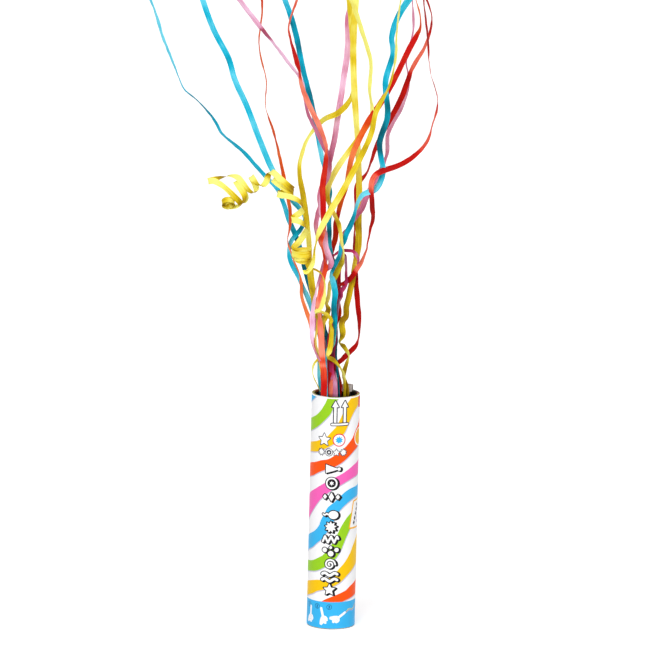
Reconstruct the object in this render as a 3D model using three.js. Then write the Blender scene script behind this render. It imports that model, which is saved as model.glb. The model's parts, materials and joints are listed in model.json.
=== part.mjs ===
// Streamer stick: a cardboard tube, closed at its base, with paper streamers glued inside it.
// Each streamer starts as a small roll in the bore. A flick of the hand throws the rolls out
// and they unroll, while their tails stay held by the glue pad, so nothing litters the floor.
// The tube stands on its closed end, with the streamers thrown up and out of the mouth.
// Millimetres, +Z up, the origin at the centre of the base, the front towards -Y.
import * as THREE from 'three';

// Tube
const tubeLength = 152.5;
const tubeDiameter = 31;
const labelPaper = 0.15;
const coreWall = 1.1;
const linerWall = 0.25;
const plyGap = 0.05;
const labelTurnIn = 6;
const labelFoot = 0.6;
const tubeSides = 48;

// Base
const discThickness = 3;
const padThickness = 3;
const padRadius = 9;
const seatGap = 0.3;

// Streamers
const ribbonWidth = 4;
const ribbonPaper = 0.2;
const ribbonStep = 10;
const viewTilt = 12.2 * Math.PI / 180;

// Sheets that keep the streamers apart in depth
const layerPitch = 0.95;
const frontLayer = -9.5;
const bunchDepth = 0.65;
const bunchWidth = 0.5;
const fanRise = 25;
const fanReach = 250;
const fanGain = 6;
const swayDepth = 8;
const swayLength = 42;
const swayLag = 0.09;

// Rolls and curls
const rollPitch = 0.8;
const rollSteps = 24;
const mouthRollRadius = 3.9;
const mouthRollLoops = 3.5;
const mouthRollBearing = 40 * Math.PI / 180;
const mouthRollRise = 4;
const mouthTailShare = 0.75;
const drumRadius = 6.6;
const drumLoops = 5.5;
const drumPitch = 0.45;
const drumClimb = 0.9;
const curlStep = 1.5;
const bendReach = 2;
const bendPull = 0.35;
const endRollRadius = 4.6;
const endRollLoops = 4;

// Radii and heights that follow
const labelRadius = tubeDiameter / 2;
const labelInside = labelRadius - labelPaper;
const coreRadius = labelInside - plyGap;
const coreBore = coreRadius - coreWall;
const linerRadius = coreBore - plyGap;
const linerBore = linerRadius - linerWall;
const turnInRadius = linerBore - plyGap;
const mouthBore = turnInRadius - labelPaper;
const turnInEnd = tubeLength - labelTurnIn;
const rimUnder = tubeLength - labelPaper;
const padBase = discThickness + plyGap;
const padTop = padBase + padThickness;
const tailStart = padTop + seatGap;
const facetBore = mouthBore * Math.cos(Math.PI / tubeSides);

const colours = {
  core: 0xd8c7a6, liner: 0x1d1c1c, label: 0x3eb9f0, disc: 0xcdbb98, pad: 0xe8dfc6,
  cyan: 0x14b8dc, yellow: 0xf1d548, red: 0xc41a0e, coral: 0xff7f60, orange: 0xee5528,
  pink: 0xefa3c8, magenta: 0xb04878, taupe: 0xa59a94,
};

// Streamers from the front layer to the back one. A route runs from the mouth upwards as seen
// from the front, looking down by viewTilt: [across, up, towards the viewer, turn in degrees].
// A turn of 90 shows the ribbon edge-on. atMouth is how far across it crosses the rim.
const streamers = [
  {
    name: 'streamer_yellow_diagonal', colour: 'yellow', atMouth: 5.6,
    route: [
      [5.4, 154], [5, 158.4], [3.1, 163.8], [0.3, 167.5], [-2.4, 170.2], [-5, 171.6],
      [-5.1, 175.1, 1], [-4.1, 178.9, 0.6], [-3.7, 185.1], [-3.7, 189.2], [-4.8, 193.7],
      [-4.1, 195.2], [-6.8, 198.7], [-10.1, 200.3], [-10.5, 204, 1.6], [-9.3, 208, 1],
      [-8.8, 212.6], [-8.9, 217.7], [-9.9, 222.5], [-11.3, 225.1], [-13.4, 226.4],
      [-16.1, 227.6], [-18.5, 227.7], [-18.3, 228.3, 1.6], [-16.6, 231.6, 1], [-16, 234.6, 0.5],
      [-15.7, 239.4], [-14.9, 244], [-14.2, 248.1], [-12.6, 252.2], [-10.3, 256.8], [-7.5, 262],
      [-4.6, 267.4], [-1.5, 272.6], [5.5, 285.5], [18, 312.5], [21.5, 328], [29, 344],
      [33.5, 364.5], [33, 376.5], [35.5, 404],
    ],
  },
  {
    name: 'streamer_coral_mid', colour: 'coral', atMouth: -7.7,
    route: [
      [-7.7, 155], [-7.9, 159], [-8.2, 164], [-8.5, 164.8], [-8.7, 166.2], [-9.1, 169.7],
      [-9.4, 173.7], [-9.9, 178], [-10.2, 183.6], [-10.8, 189.8], [-11.2, 194.9],
      [-11.5, 197.2], [-12.3, 203.1], [-11.8, 208.5], [-10.7, 213.9], [-9.9, 220.1],
      [-9.1, 225.3], [-8.3, 229.3], [-9.2, 233.3], [-9.4, 235.6], [-10.5, 239.8],
      [-11.9, 244.1], [-11.6, 247.6], [-10.1, 252.2], [-10.2, 258.4], [-10.7, 264.3],
      [-10.9, 270.5], [-11.5, 279], [-10, 299], [-10, 306.5], [-14.5, 318], [-23, 333.5],
      [-30, 358], [-35, 379.5], [-29, 399.5], [-27.5, 404],
    ],
  },
  {
    name: 'streamer_cyan_right', colour: 'cyan', atMouth: -7,
    route: [
      [-7.4, 160], [-8, 170], [-7, 174.5], [-4, 178], [-2.3, 180.3], [-1.6, 184.6],
      [-1.4, 187.9], [-1.6, 193.3], [-1.6, 195.8], [-2.4, 201.5], [-2.4, 206.8], [-2, 212.2],
      [-2.9, 217.6], [-4, 221.9], [-4.8, 224.8], [-3.7, 227.8], [-2.2, 231.1], [-0.4, 235.1],
      [0.5, 237.7], [1.2, 242.5], [3, 246.1], [4.4, 250.7], [6.9, 256.1], [8.7, 261.5],
      [9.9, 266.4], [12, 271.6], [14.6, 275.6], [22.5, 279.5], [26.5, 289.5], [24, 308],
      [29, 325.5], [27, 347], [31, 364.5], [30, 375], [34, 388], [42.5, 404],
    ],
  },
  {
    name: 'streamer_pink_left', colour: 'pink', atMouth: -6.4,
    route: [
      [-7, 158], [-8.2, 164], [-11.6, 170.8], [-13.1, 173.6], [-15, 177.9], [-16, 181.9],
      [-16.1, 186.2], [-16.1, 191.6], [-16.2, 196.4], [-16.2, 197.1], [-15.8, 202.5],
      [-15.1, 207.1], [-14.5, 211.1], [-13.8, 215.5], [-12.5, 220.6], [-10.9, 224.7],
      [-8.3, 227.7], [-5.9, 229.4], [-4.9, 231.8], [-5.8, 234.8], [-7.2, 238], [-9.1, 243.4],
      [-9, 248.2], [-9, 252.5], [-10.9, 257.3], [-12.3, 261.6], [-12.6, 266.4], [-11.5, 279],
      [-7.5, 288], [-8, 297.5], [-12, 307], [-22, 326.5], [-26.5, 346.5], [-34.5, 357],
      [-46.5, 371.5], [-57, 384], [-68.5, 398.5], [-72, 404],
    ],
  },
  {
    name: 'streamer_yellow_curly', colour: 'yellow', atMouth: -7.2, endsUnderDrum: true,
    route: [
      [-8.5, 160], [-11.6, 172.3], [-13.3, 178.7], [-13.8, 184.4], [-12.9, 191.1], [-12, 196.5],
      [-11.9, 197.2], [-12.6, 202.6], [-14.7, 209], [-15.6, 212.5], [-16.7, 218.1],
      [-17.5, 222.9], [-18.3, 227.7],
    ],
  },
  {
    name: 'streamer_yellow_pale', colour: 'yellow', atMouth: -7.4,
    route: [
      [-8.3, 162], [-10, 176], [-10, 187], [-9.2, 194], [-6.9, 199.2], [-6, 202.4],
      [-7.3, 205.9], [-6.3, 209.7], [-5.7, 214.6], [-5.4, 218.3], [-2.8, 222.4], [-0.9, 226.3],
      [0.8, 230.9], [1.9, 233.1], [2.7, 237.2], [2.6, 241.2], [1.4, 246.3], [0.6, 251.7],
      [-0.8, 257.3], [-3.2, 261.8], [-5.1, 265.8], [-8, 272], [-7.6, 281], [-1.5, 293.5],
      [10.5, 311], [19, 328], [17.5, 342], [17.5, 360], [11, 379], [2, 404],
    ],
  },
  {
    name: 'streamer_magenta_loop', colour: 'magenta', atMouth: -0.6,
    route: [
      [-1.1, 154.5], [-2.2, 159], [-3.1, 163.1], [-3.3, 167.9], [-2.5, 172.4], [-2, 176.8],
      [-0.8, 182], [-0.4, 188], [-0.2, 195], [0, 200], [0.2, 204], [0.9, 207.9], [1.6, 210.6],
      [1.6, 213.5, 1, 30], [3.3, 215.7, 3, 60], [5, 218.9, 6, 90], [4.9, 223.2, 9, 90],
      [4.7, 228, 10.5, 90], [4.4, 232.3, 11, 90], [4.3, 234.6, 11, 90], [3.4, 237.4, 11, 90],
      [0.3, 238.6, 11, 90], [-2.4, 237.6, 11.5, 90], [-3.6, 236, 12.5, 90],
      [-2.4, 238.3, 13.5, 90], [-0.2, 239.4, 14, 90], [3, 240.1, 14, 90], [5.9, 240, 14, 90],
      [8.6, 239.6, 14, 90], [10.9, 237.4, 14, 90], [12.3, 234.3, 14, 90], [12.1, 231.8, 14, 90],
      [11.4, 230, 14, 90],
    ],
  },
  {
    name: 'streamer_red_far_right', colour: 'red', atMouth: -6.4,
    route: [
      [-6.2, 156], [-4.6, 161.5], [-4.3, 166], [-4.8, 172], [-5.6, 179.4], [-5.1, 183.8],
      [-4.5, 190], [-2.6, 200], [-1, 211], [0.8, 217.5], [3.5, 219.1], [6.9, 221.6],
      [9.5, 224.7], [11.5, 228.2], [13.9, 232.2], [15.7, 236], [17.4, 240.8], [18.2, 246.7],
      [19.4, 253.2], [20.9, 260.9], [20.5, 268], [20, 275.5], [20, 286.5], [24, 292],
      [39.5, 298], [53.5, 310], [58, 323], [60.5, 335.5], [55, 355.5], [53, 375], [48, 404],
    ],
  },
  {
    name: 'streamer_cyan_mid', colour: 'cyan', atMouth: 1.9,
    route: [
      [1.6, 155], [0.7, 163], [-0.3, 170.4], [-0.7, 177.9], [-0.6, 184.7], [-1.5, 195],
      [-2, 210], [-2.5, 224], [-2.9, 233.2], [-3.9, 234.9], [-5.8, 242.4], [-6.3, 246.4],
      [-6.5, 250.4], [-6.8, 255.3], [-6.9, 259], [-6.5, 265.2], [-6.6, 272], [-6.6, 277],
      [-8.5, 284], [-13, 301.5], [-18.5, 328], [-25.5, 354], [-32, 381], [-38.5, 399],
      [-40, 404],
    ],
  },
  {
    name: 'streamer_yellow_mid', colour: 'yellow', atMouth: 7,
    route: [
      [6.5, 154.2], [4.8, 159.5], [5.3, 163.3], [6.4, 167.6], [7.2, 170.8], [7.3, 173.5],
      [6, 176.5], [3.8, 179.4], [3.3, 185.3], [3.4, 188.8], [2.7, 192.8], [3.7, 196.1],
      [5.2, 197.6], [5.5, 204.3], [6.8, 210.3], [8, 216.8], [9.1, 221.4], [9.9, 230],
      [11.5, 237.4], [12.2, 244.1], [12.3, 249.5], [11.9, 256.2], [11.9, 263], [12, 275.5],
      [10, 311], [7.5, 339], [6, 369], [7, 404],
    ],
  },
  {
    name: 'streamer_red_right', colour: 'red', atMouth: -4,
    route: [
      [-4, 153.5], [-3.7, 156.8], [-3.3, 159.8], [-1.5, 165], [0.3, 167.7], [3.5, 170.2],
      [5.3, 172.3], [7.8, 174.8], [10.5, 177.5], [12.6, 180.5], [13.4, 183.6], [13.9, 187.2],
      [14, 193.1], [13.8, 196.7], [13, 203.1], [12.1, 211.2], [11.3, 218.7], [11.1, 225.2],
      [10, 238.7], [9.6, 246.8], [9.6, 253.5], [9.6, 258], [10, 268], [10.5, 281.5],
      [16.5, 290], [23, 309], [37, 337], [43, 354.5], [52.5, 372.5], [55.5, 388.5], [50, 404],
    ],
  },
  {
    name: 'streamer_orange_diagonal', colour: 'orange', atMouth: 2.6,
    route: [
      [2.6, 155], [1.2, 160.5], [-1, 168], [-3, 180], [-2, 192], [0.8, 200.2], [-0.5, 209],
      [0.1, 221.2], [-1.5, 228], [-4.9, 237], [-4.2, 241.6], [-2.8, 247], [-2.4, 251.9],
      [-2.5, 257.2], [-1.2, 263.2], [-0.5, 266.7], [0.7, 271.6], [1.9, 275.5], [4, 285],
      [7, 305], [13, 321], [24, 338.5], [32, 351], [41.5, 369.5], [48.5, 387.5], [44, 404],
    ],
  },
  {
    name: 'streamer_yellow_arc', colour: 'yellow', atMouth: -9.2,
    route: [
      [-9.9, 149.8], [-12, 153.8], [-14.1, 158.1], [-15.2, 162], [-15, 165.5], [-13.8, 168.2],
      [-12, 170.3], [-10.5, 180], [-15, 205], [-18.5, 226], [-19.5, 245.5], [-23.5, 273],
      [-26.5, 289], [-26, 297], [-22, 310], [-12.5, 322.5], [-2, 328], [6, 339], [6, 368],
      [2, 404],
    ],
  },
  {
    name: 'streamer_pink_mid', colour: 'pink', atMouth: -4.4,
    route: [
      [-5.6, 158], [-5.7, 165.7], [-6.8, 171.1], [-7.7, 175.6], [-10.5, 186], [-13.1, 188.4],
      [-14.2, 194.9], [-12.5, 205], [-11, 215], [-10.5, 225.5], [-8.5, 236.9], [-10.8, 242.8],
      [-12.9, 246.5], [-14.9, 251.6], [-15.2, 257.2], [-14.1, 263.2], [-13.1, 267.8],
      [-13, 275], [-8, 294.5], [-4.5, 326.5], [0, 350.5], [3, 374], [2, 394.5], [5.5, 404],
    ],
  },
  {
    name: 'streamer_pink_right', colour: 'pink', atMouth: -0.3,
    route: [
      [-3, 167], [-1.5, 200], [2.6, 250], [5.6, 254.5], [8.4, 261.5], [10.9, 266.2],
      [13.6, 269.7], [16, 277], [22, 286], [29, 302], [29.5, 315], [38.5, 334], [42, 348.5],
      [40, 362], [44, 381.5], [42.5, 404],
    ],
  },
  {
    name: 'streamer_red_thin', colour: 'red', atMouth: -8.5,
    route: [
      [-8.6, 160], [-9.6, 165.5], [-11.2, 169.5], [-13.2, 175.5], [-15.6, 184], [-17.2, 193],
      [-23, 209], [-24.2, 221], [-28.6, 232.5], [-31.5, 240], [-33, 246], [-31.5, 260],
      [-36, 284], [-43.5, 314.5], [-49, 330.5], [-49, 347], [-54, 369], [-52.5, 393],
      [-53.5, 404],
    ],
  },
  {
    name: 'streamer_cyan_left', colour: 'cyan', atMouth: -9.8,
    route: [
      [-10.6, 155], [-11.2, 161.5], [-11.2, 165.6], [-11, 170], [-12, 179], [-19, 208.5],
      [-24.5, 220], [-31.5, 234.5], [-31, 244.5], [-24, 254.5], [-22.5, 261], [-31, 272],
      [-43.5, 290], [-52, 308.5], [-60.5, 329.5], [-69.5, 348.5], [-73, 360], [-84, 380.5],
      [-93, 404],
    ],
  },
  {
    name: 'streamer_cyan_far_left', colour: 'cyan', atMouth: -5,
    route: [
      [-6, 164], [-6.9, 175.4], [-7.2, 180.5], [-6.9, 185.3], [-8, 190.7], [-9.2, 194.7],
      [-12, 200], [-17, 213], [-20.5, 224], [-26.5, 245], [-33, 260], [-40, 278],
      [-48.5, 286.5], [-63, 302], [-76.5, 313], [-82, 322], [-93, 334], [-101, 340.5],
      [-106.5, 352], [-112, 365], [-116.5, 376], [-120.5, 388.5], [-127, 404],
    ],
  },
];

// Route of the curls above the drum: [across, up, towards the viewer].
const curlRoute = [
  [-30.1, 239.6, -3.4], [-28.6, 241.8, -6], [-26, 244.4, -6.5], [-22.7, 249.3, -4.5],
  [-20.8, 253.1, 0], [-23.7, 256.6, 4.5], [-27.8, 258.2, 4.5], [-30.9, 258.7, 0],
  [-28.4, 261.1, -4.5], [-25, 263.6, -4], [-23.4, 266.2, 0], [-26.3, 270.7, 5],
  [-32.1, 273.1, 6], [-37.8, 274, 4], [-40.3, 274.9, 0], [-36.2, 275.7, -6],
  [-31.6, 275.7, -4.5], [-29.7, 275.9, 0], [-32.8, 277.1, 4], [-38.5, 280.4, 5],
  [-42.2, 283.1, 3], [-43.2, 284.3, 0], [-38.6, 281.6, -5.5], [-32.8, 277.9, -4.5],
  [-30, 277.5, 0], [-32.8, 279.6, 6], [-38.6, 284.4, 8], [-43, 288.2, 5],
  [-45.3, 288.9, 0], [-46.4, 285.9, -3.5], [-47.3, 282.5, -3], [-49.7, 279.6, 0],
  [-52.8, 280.3, 3.5], [-55.7, 283.7, 4], [-57.2, 285.7, 0.5], [-56.2, 284, -3.5],
  [-54.2, 280, -4], [-53.6, 276.6, -1.5], [-55.6, 275, 1.5], [-58.7, 276.8, 4.5],
  [-62, 280.7, 5], [-65.5, 284.6, 3], [-69.5, 285.8, 0], [-75.2, 284.9, -3],
  [-80.8, 283, -3], [-84.4, 281.7, 0], [-80.8, 282, 4], [-75.6, 279.5, 5],
  [-69.8, 274.8, 5], [-65.2, 270.4, 3], [-62.2, 268, 0], [-59.6, 271.9, -3.5],
  [-62.5, 278.7, -4], [-66.7, 282.5, -0.5], [-65.1, 279.8, 4], [-61.2, 273.6, 5],
  [-61.2, 269, 3.5], [-64.5, 266.5, 1], [-67.9, 266.1, 0], [-70.5, 265.9, 0],
];
const drumAcross = -23.7;
const drumUp = 236;

// Revolved piece: the profile is an outline of [radius, height], closed or on the axis.
function turned(profile) {
  const outline = profile.map(([radius, height]) => new THREE.Vector2(radius, height));
  return new THREE.LatheGeometry(outline, tubeSides).rotateX(Math.PI / 2);
}

function ply(outer, inner, low, high) {
  return turned([[outer, low], [outer, high], [inner, high], [inner, low], [outer, low]]);
}

function disc(radius, low, high) {
  return turned([[0, low], [radius, low], [radius, high], [0, high]]);
}

// Printed paper: round the core, over the rim and a short way down inside the mouth.
function labelWrap() {
  return turned([
    [labelRadius, labelFoot], [labelRadius, tubeLength], [mouthBore, tubeLength],
    [mouthBore, turnInEnd], [turnInRadius, turnInEnd], [turnInRadius, rimUnder],
    [labelInside, rimUnder], [labelInside, labelFoot], [labelRadius, labelFoot],
  ]);
}

// Depth of a layer's sheet at a height: drawn together in the tube, fanned out above it.
function sheetDepth(layer, height) {
  const own = frontLayer + layer * layerPitch;
  const inTube = THREE.MathUtils.mapLinear(height, tailStart, tubeLength, bunchDepth, 1);
  const above = Math.max(0, height - tubeLength - fanRise) / fanReach;
  const sway = swayDepth * above ** 2 * Math.sin(height / swayLength + swayLag * own);
  return own * Math.min(inTube, 1) + own * fanGain * above ** 1.5 + sway;
}

// Height of a point that is seen at `up` in the tilted view, on a layer's sheet.
function heightSeenAt(up, layer) {
  const depthOf = (height) => sheetDepth(layer, height);
  let height = up / Math.cos(viewTilt);
  for (let round = 0; round < 8; round += 1) {
    height = (up - depthOf(height) * Math.sin(viewTilt)) / Math.cos(viewTilt);
  }
  return height;
}

// Closed strip of paper through stations of { at, wide, face }: a point, the unit vector
// across the paper and the unit normal of its face.
function strip(stations, width = ribbonWidth) {
  const corners = [[-1, -1], [1, -1], [1, 1], [-1, 1]];
  const positions = [];
  for (const { at, wide, face } of stations) {
    for (const [across, out] of corners) {
      const corner = at.clone().addScaledVector(wide, across * width / 2);
      corner.addScaledVector(face, out * ribbonPaper / 2);
      positions.push(corner.x, corner.y, corner.z);
    }
  }
  const faces = [0, 1, 2, 0, 2, 3];
  for (let ring = 0; ring < stations.length - 1; ring += 1) {
    for (let side = 0; side < 4; side += 1) {
      const here = ring * 4 + side;
      const next = ring * 4 + (side + 1) % 4;
      // Both broad faces are split the same way, or a twisted strip would cut through itself.
      if (side === 2) faces.push(here, here + 4, next, next, here + 4, next + 4);
      else faces.push(here, next + 4, next, here, here + 4, next + 4);
    }
  }
  const last = (stations.length - 1) * 4;
  faces.push(last, last + 2, last + 1, last, last + 3, last + 2);
  const geometry = new THREE.BufferGeometry();
  geometry.setAttribute('position', new THREE.Float32BufferAttribute(positions, 3));
  geometry.setIndex(faces);
  geometry.computeVertexNormals();
  return geometry;
}

// Unit tangents along a row of points.
function tangents(points) {
  return points.map((_, index) => {
    const before = points[Math.max(0, index - 1)];
    const after = points[Math.min(points.length - 1, index + 1)];
    return after.clone().sub(before).normalize();
  });
}

// Stations for a ribbon whose face looks outwards from what it winds round.
function facing(points, outward) {
  const along = tangents(points);
  return points.map((at, index) => {
    const face = outward[index];
    face.addScaledVector(along[index], -face.dot(along[index])).normalize();
    return { at, wide: along[index].clone().cross(face), face };
  });
}

// Points of a smooth curve through knots, with the knots' turn carried along.
function smoothed(knots, turns, step) {
  const curve = new THREE.CatmullRomCurve3(knots, false, 'centripetal');
  const spans = knots.length - 1;
  const samples = [];
  for (let span = 0; span < spans; span += 1) {
    const cuts = Math.max(1, Math.ceil(knots[span].distanceTo(knots[span + 1]) / step));
    for (let cut = 0; cut < cuts; cut += 1) {
      const share = cut / cuts;
      const turn = THREE.MathUtils.lerp(turns[span], turns[span + 1], share);
      samples.push({ plan: curve.getPoint((span + share) / spans), turn });
    }
  }
  samples.push({ plan: knots[spans], turn: turns[spans] });
  return samples;
}

// A streamer on its sheet, through knots of (across, height, towards the viewer).
function ribbonOnSheet(knots, turns, layer) {
  const samples = smoothed(knots, turns, ribbonStep);
  const points = samples.map(({ plan }) => (
    new THREE.Vector3(plan.x, sheetDepth(layer, plan.y) - plan.z, plan.y)));
  const along = tangents(points);
  const stations = points.map((at, index) => {
    const height = samples[index].plan.y;
    const slope = sheetDepth(layer, height + 0.5) - sheetDepth(layer, height - 0.5);
    const face = new THREE.Vector3(0, 1, -slope);
    face.addScaledVector(along[index], -face.dot(along[index])).normalize();
    const wide = along[index].clone().cross(face);
    const turn = THREE.MathUtils.degToRad(samples[index].turn);
    return {
      at,
      wide: wide.clone().multiplyScalar(Math.cos(turn)).addScaledVector(face, Math.sin(turn)),
      face: face.clone().multiplyScalar(Math.cos(turn)).addScaledVector(wide, -Math.sin(turn)),
    };
  });
  return stations;
}

// From the glue pad up the bore, through the mouth and along the drawn route.
function streamerStations({ atMouth, route, endsUnderDrum }, layer) {
  const middle = (tailStart + tubeLength) / 2;
  const knots = [
    new THREE.Vector3(atMouth * bunchWidth, tailStart, 0),
    new THREE.Vector3(atMouth * (1 + bunchWidth) / 2, middle, 0),
    new THREE.Vector3(atMouth, tubeLength, 0),
  ];
  const turns = [0, 0, 0];
  for (const [across, up, forward = 0, turn = 0] of route) {
    knots.push(new THREE.Vector3(across, heightSeenAt(up, layer), forward));
    turns.push(turn);
  }
  if (endsUnderDrum) {
    knots.push(new THREE.Vector3(drumAcross + drumInside, drumCentre.z - drumHalf - seatGap, 0));
    turns.push(0);
  }
  return ribbonOnSheet(knots, turns, layer);
}

const curlyLayer = streamers.findIndex(({ endsUnderDrum }) => endsUnderDrum);
const drumCentre = new THREE.Vector3(drumAcross, 0, heightSeenAt(drumUp, curlyLayer));
drumCentre.y = sheetDepth(curlyLayer, drumCentre.z);

const drumHalf = (drumClimb * drumLoops + ribbonWidth) / 2;
const drumInside = drumRadius - drumLoops * drumPitch;

// Wound roll: starts at `radius` towards `right` and winds inwards by `pitch` a loop, towards
// `back`, about the axis right x back, with each loop `climb` further along that axis.
function rollStations({ centre, right, back, radius, loops, pitch = rollPitch, climb = 0 }) {
  const axis = right.clone().cross(back);
  const points = [];
  const outward = [];
  for (let step = 0; step <= loops * rollSteps; step += 1) {
    const loop = step / rollSteps;
    const angle = loop * 2 * Math.PI;
    const out = right.clone().multiplyScalar(Math.cos(angle));
    out.addScaledVector(back, Math.sin(angle));
    const at = centre.clone().addScaledVector(out, radius - loop * pitch);
    points.push(at.addScaledVector(axis, (loop - loops / 2) * climb));
    outward.push(out);
  }
  return facing(points, outward);
}

// Least gap between the paper of one loop and the next, measured on the roll's own points.
function reportLoopGap(name, stations) {
  let least = Infinity;
  for (let index = 0; index + rollSteps < stations.length; index += 1) {
    for (let other = index + rollSteps / 2; other < stations.length; other += 1) {
      const apart = stations[index].at.distanceTo(stations[other].at) - ribbonPaper;
      least = Math.min(least, apart);
    }
  }
  console.log(`${name}: least gap between its loops ${least.toFixed(2)} mm`);
}

// The way a curled ribbon's face looks: away from the centre of its bend, turned gently.
function outwardAlong(points, first) {
  const along = tangents(points);
  const out = first.clone();
  return points.map((at, index) => {
    const before = points[Math.max(0, index - bendReach)];
    const after = points[Math.min(points.length - 1, index + bendReach)];
    const bend = at.clone().multiplyScalar(2).sub(before).sub(after);
    out.addScaledVector(bend, bendPull);
    out.addScaledVector(along[index], -out.dot(along[index])).normalize();
    return out.clone();
  });
}

// Curls: the ribbon's free end, from where the drum lets it go.
function curlStations(drumEnd, heading) {
  const knots = [drumEnd.at.clone().addScaledVector(heading, seatGap)];
  for (const [across, up, forward] of curlRoute) {
    const height = heightSeenAt(up, curlyLayer);
    const raised = height + forward * Math.tan(viewTilt);
    knots.push(new THREE.Vector3(across, sheetDepth(curlyLayer, height) - forward, raised));
  }
  const points = smoothed(knots, knots.map(() => 0), curlStep).map(({ plan }) => plan);
  return facing(points, outwardAlong(points, drumEnd.face));
}

// Which way a strip runs on from its last station.
function headingOf({ wide, face }) {
  return wide.clone().cross(face).negate();
}

const part = new THREE.Group();

function add(name, colour, geometry, roughness = 0.7) {
  const material = new THREE.MeshStandardMaterial({ color: colours[colour], roughness });
  material.metalness = 0;
  const mesh = new THREE.Mesh(geometry, material);
  mesh.name = name;
  part.add(mesh);
}

add('tube_core', 'core', ply(coreRadius, coreBore, 0, rimUnder - plyGap), 0.9);
add('inner_liner', 'liner', ply(linerRadius, linerBore, 0, rimUnder - plyGap), 0.8);
add('printed_label', 'label', labelWrap(), 0.35);
add('base_disc', 'disc', disc(linerBore - plyGap, 0, discThickness), 0.9);
add('glue_pad', 'pad', disc(padRadius, padBase, padTop), 0.4);

const upwards = new THREE.Vector3(0, 0, 1);
const across = new THREE.Vector3(1, 0, 0);
const backwards = new THREE.Vector3(0, 1, 0);

streamers.forEach((streamer, layer) => {
  add(streamer.name, streamer.colour, strip(streamerStations(streamer, layer)));
});

// Drum: the curly streamer's first winding, loose turns that climb as they open.
const drum = rollStations({
  centre: drumCentre, right: across, back: backwards.clone().negate(), radius: drumInside,
  loops: drumLoops, pitch: -drumPitch, climb: -drumClimb,
});
reportLoopGap('streamer_drum', drum);
add('streamer_drum', 'yellow', strip(drum));

const drumEnd = drum[drum.length - 1];
const curls = curlStations(drumEnd, headingOf(drumEnd));
add('streamer_curls', 'yellow', strip(curls));

// End roll: what is left unwound at the far end of the curls, rolled the way they curl.
const curlEnd = curls[curls.length - 1];
const curlHeading = headingOf(curlEnd);
const endRollStart = curlEnd.at.clone().addScaledVector(curlHeading, seatGap);
const endRoll = rollStations({
  centre: endRollStart.clone().addScaledVector(curlEnd.face, -endRollRadius),
  right: curlEnd.face, back: curlHeading, radius: endRollRadius, loops: endRollLoops,
});
reportLoopGap('streamer_end_roll', endRoll);
add('streamer_end_roll', 'yellow', strip(endRoll));

// Mouth roll: one streamer not yet thrown, resting on its own tail against the bore.
const mouthRollReach = facetBore - seatGap - mouthRollRadius - ribbonPaper / 2;
const mouthRollAcross = mouthRollReach * Math.cos(mouthRollBearing);
const mouthRollDepth = mouthRollReach * Math.sin(mouthRollBearing);
const mouthRollTop = tubeLength + mouthRollRise;
const mouthRollCentre = new THREE.Vector3(
  mouthRollAcross, mouthRollDepth, mouthRollTop - ribbonWidth / 2);
const mouthRoll = rollStations({
  centre: mouthRollCentre, right: across, back: backwards, radius: mouthRollRadius,
  loops: mouthRollLoops,
});
reportLoopGap('mouth_roll', mouthRoll);
add('mouth_roll', 'taupe', strip(mouthRoll));

const mouthTailTop = mouthRollTop - ribbonWidth - seatGap;
const mouthTail = ribbonOnSheet(
  [new THREE.Vector3(mouthRollAcross * mouthTailShare, tailStart, 0),
    new THREE.Vector3(mouthRollAcross, mouthTailTop, 0)],
  [0, 0], (mouthRollDepth - frontLayer) / layerPitch);
add('mouth_roll_tail', 'taupe', strip(mouthTail));

export default part;
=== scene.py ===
# Streamer stick: a printed cardboard tube with its paper streamers thrown out of the mouth.
# Lengths in the lists are millimetres and are multiplied by mm where they are used, so every
# object is in metres. +Z is up, the front looks towards -Y, and the tube stands at the origin.
import json
import math

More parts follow.
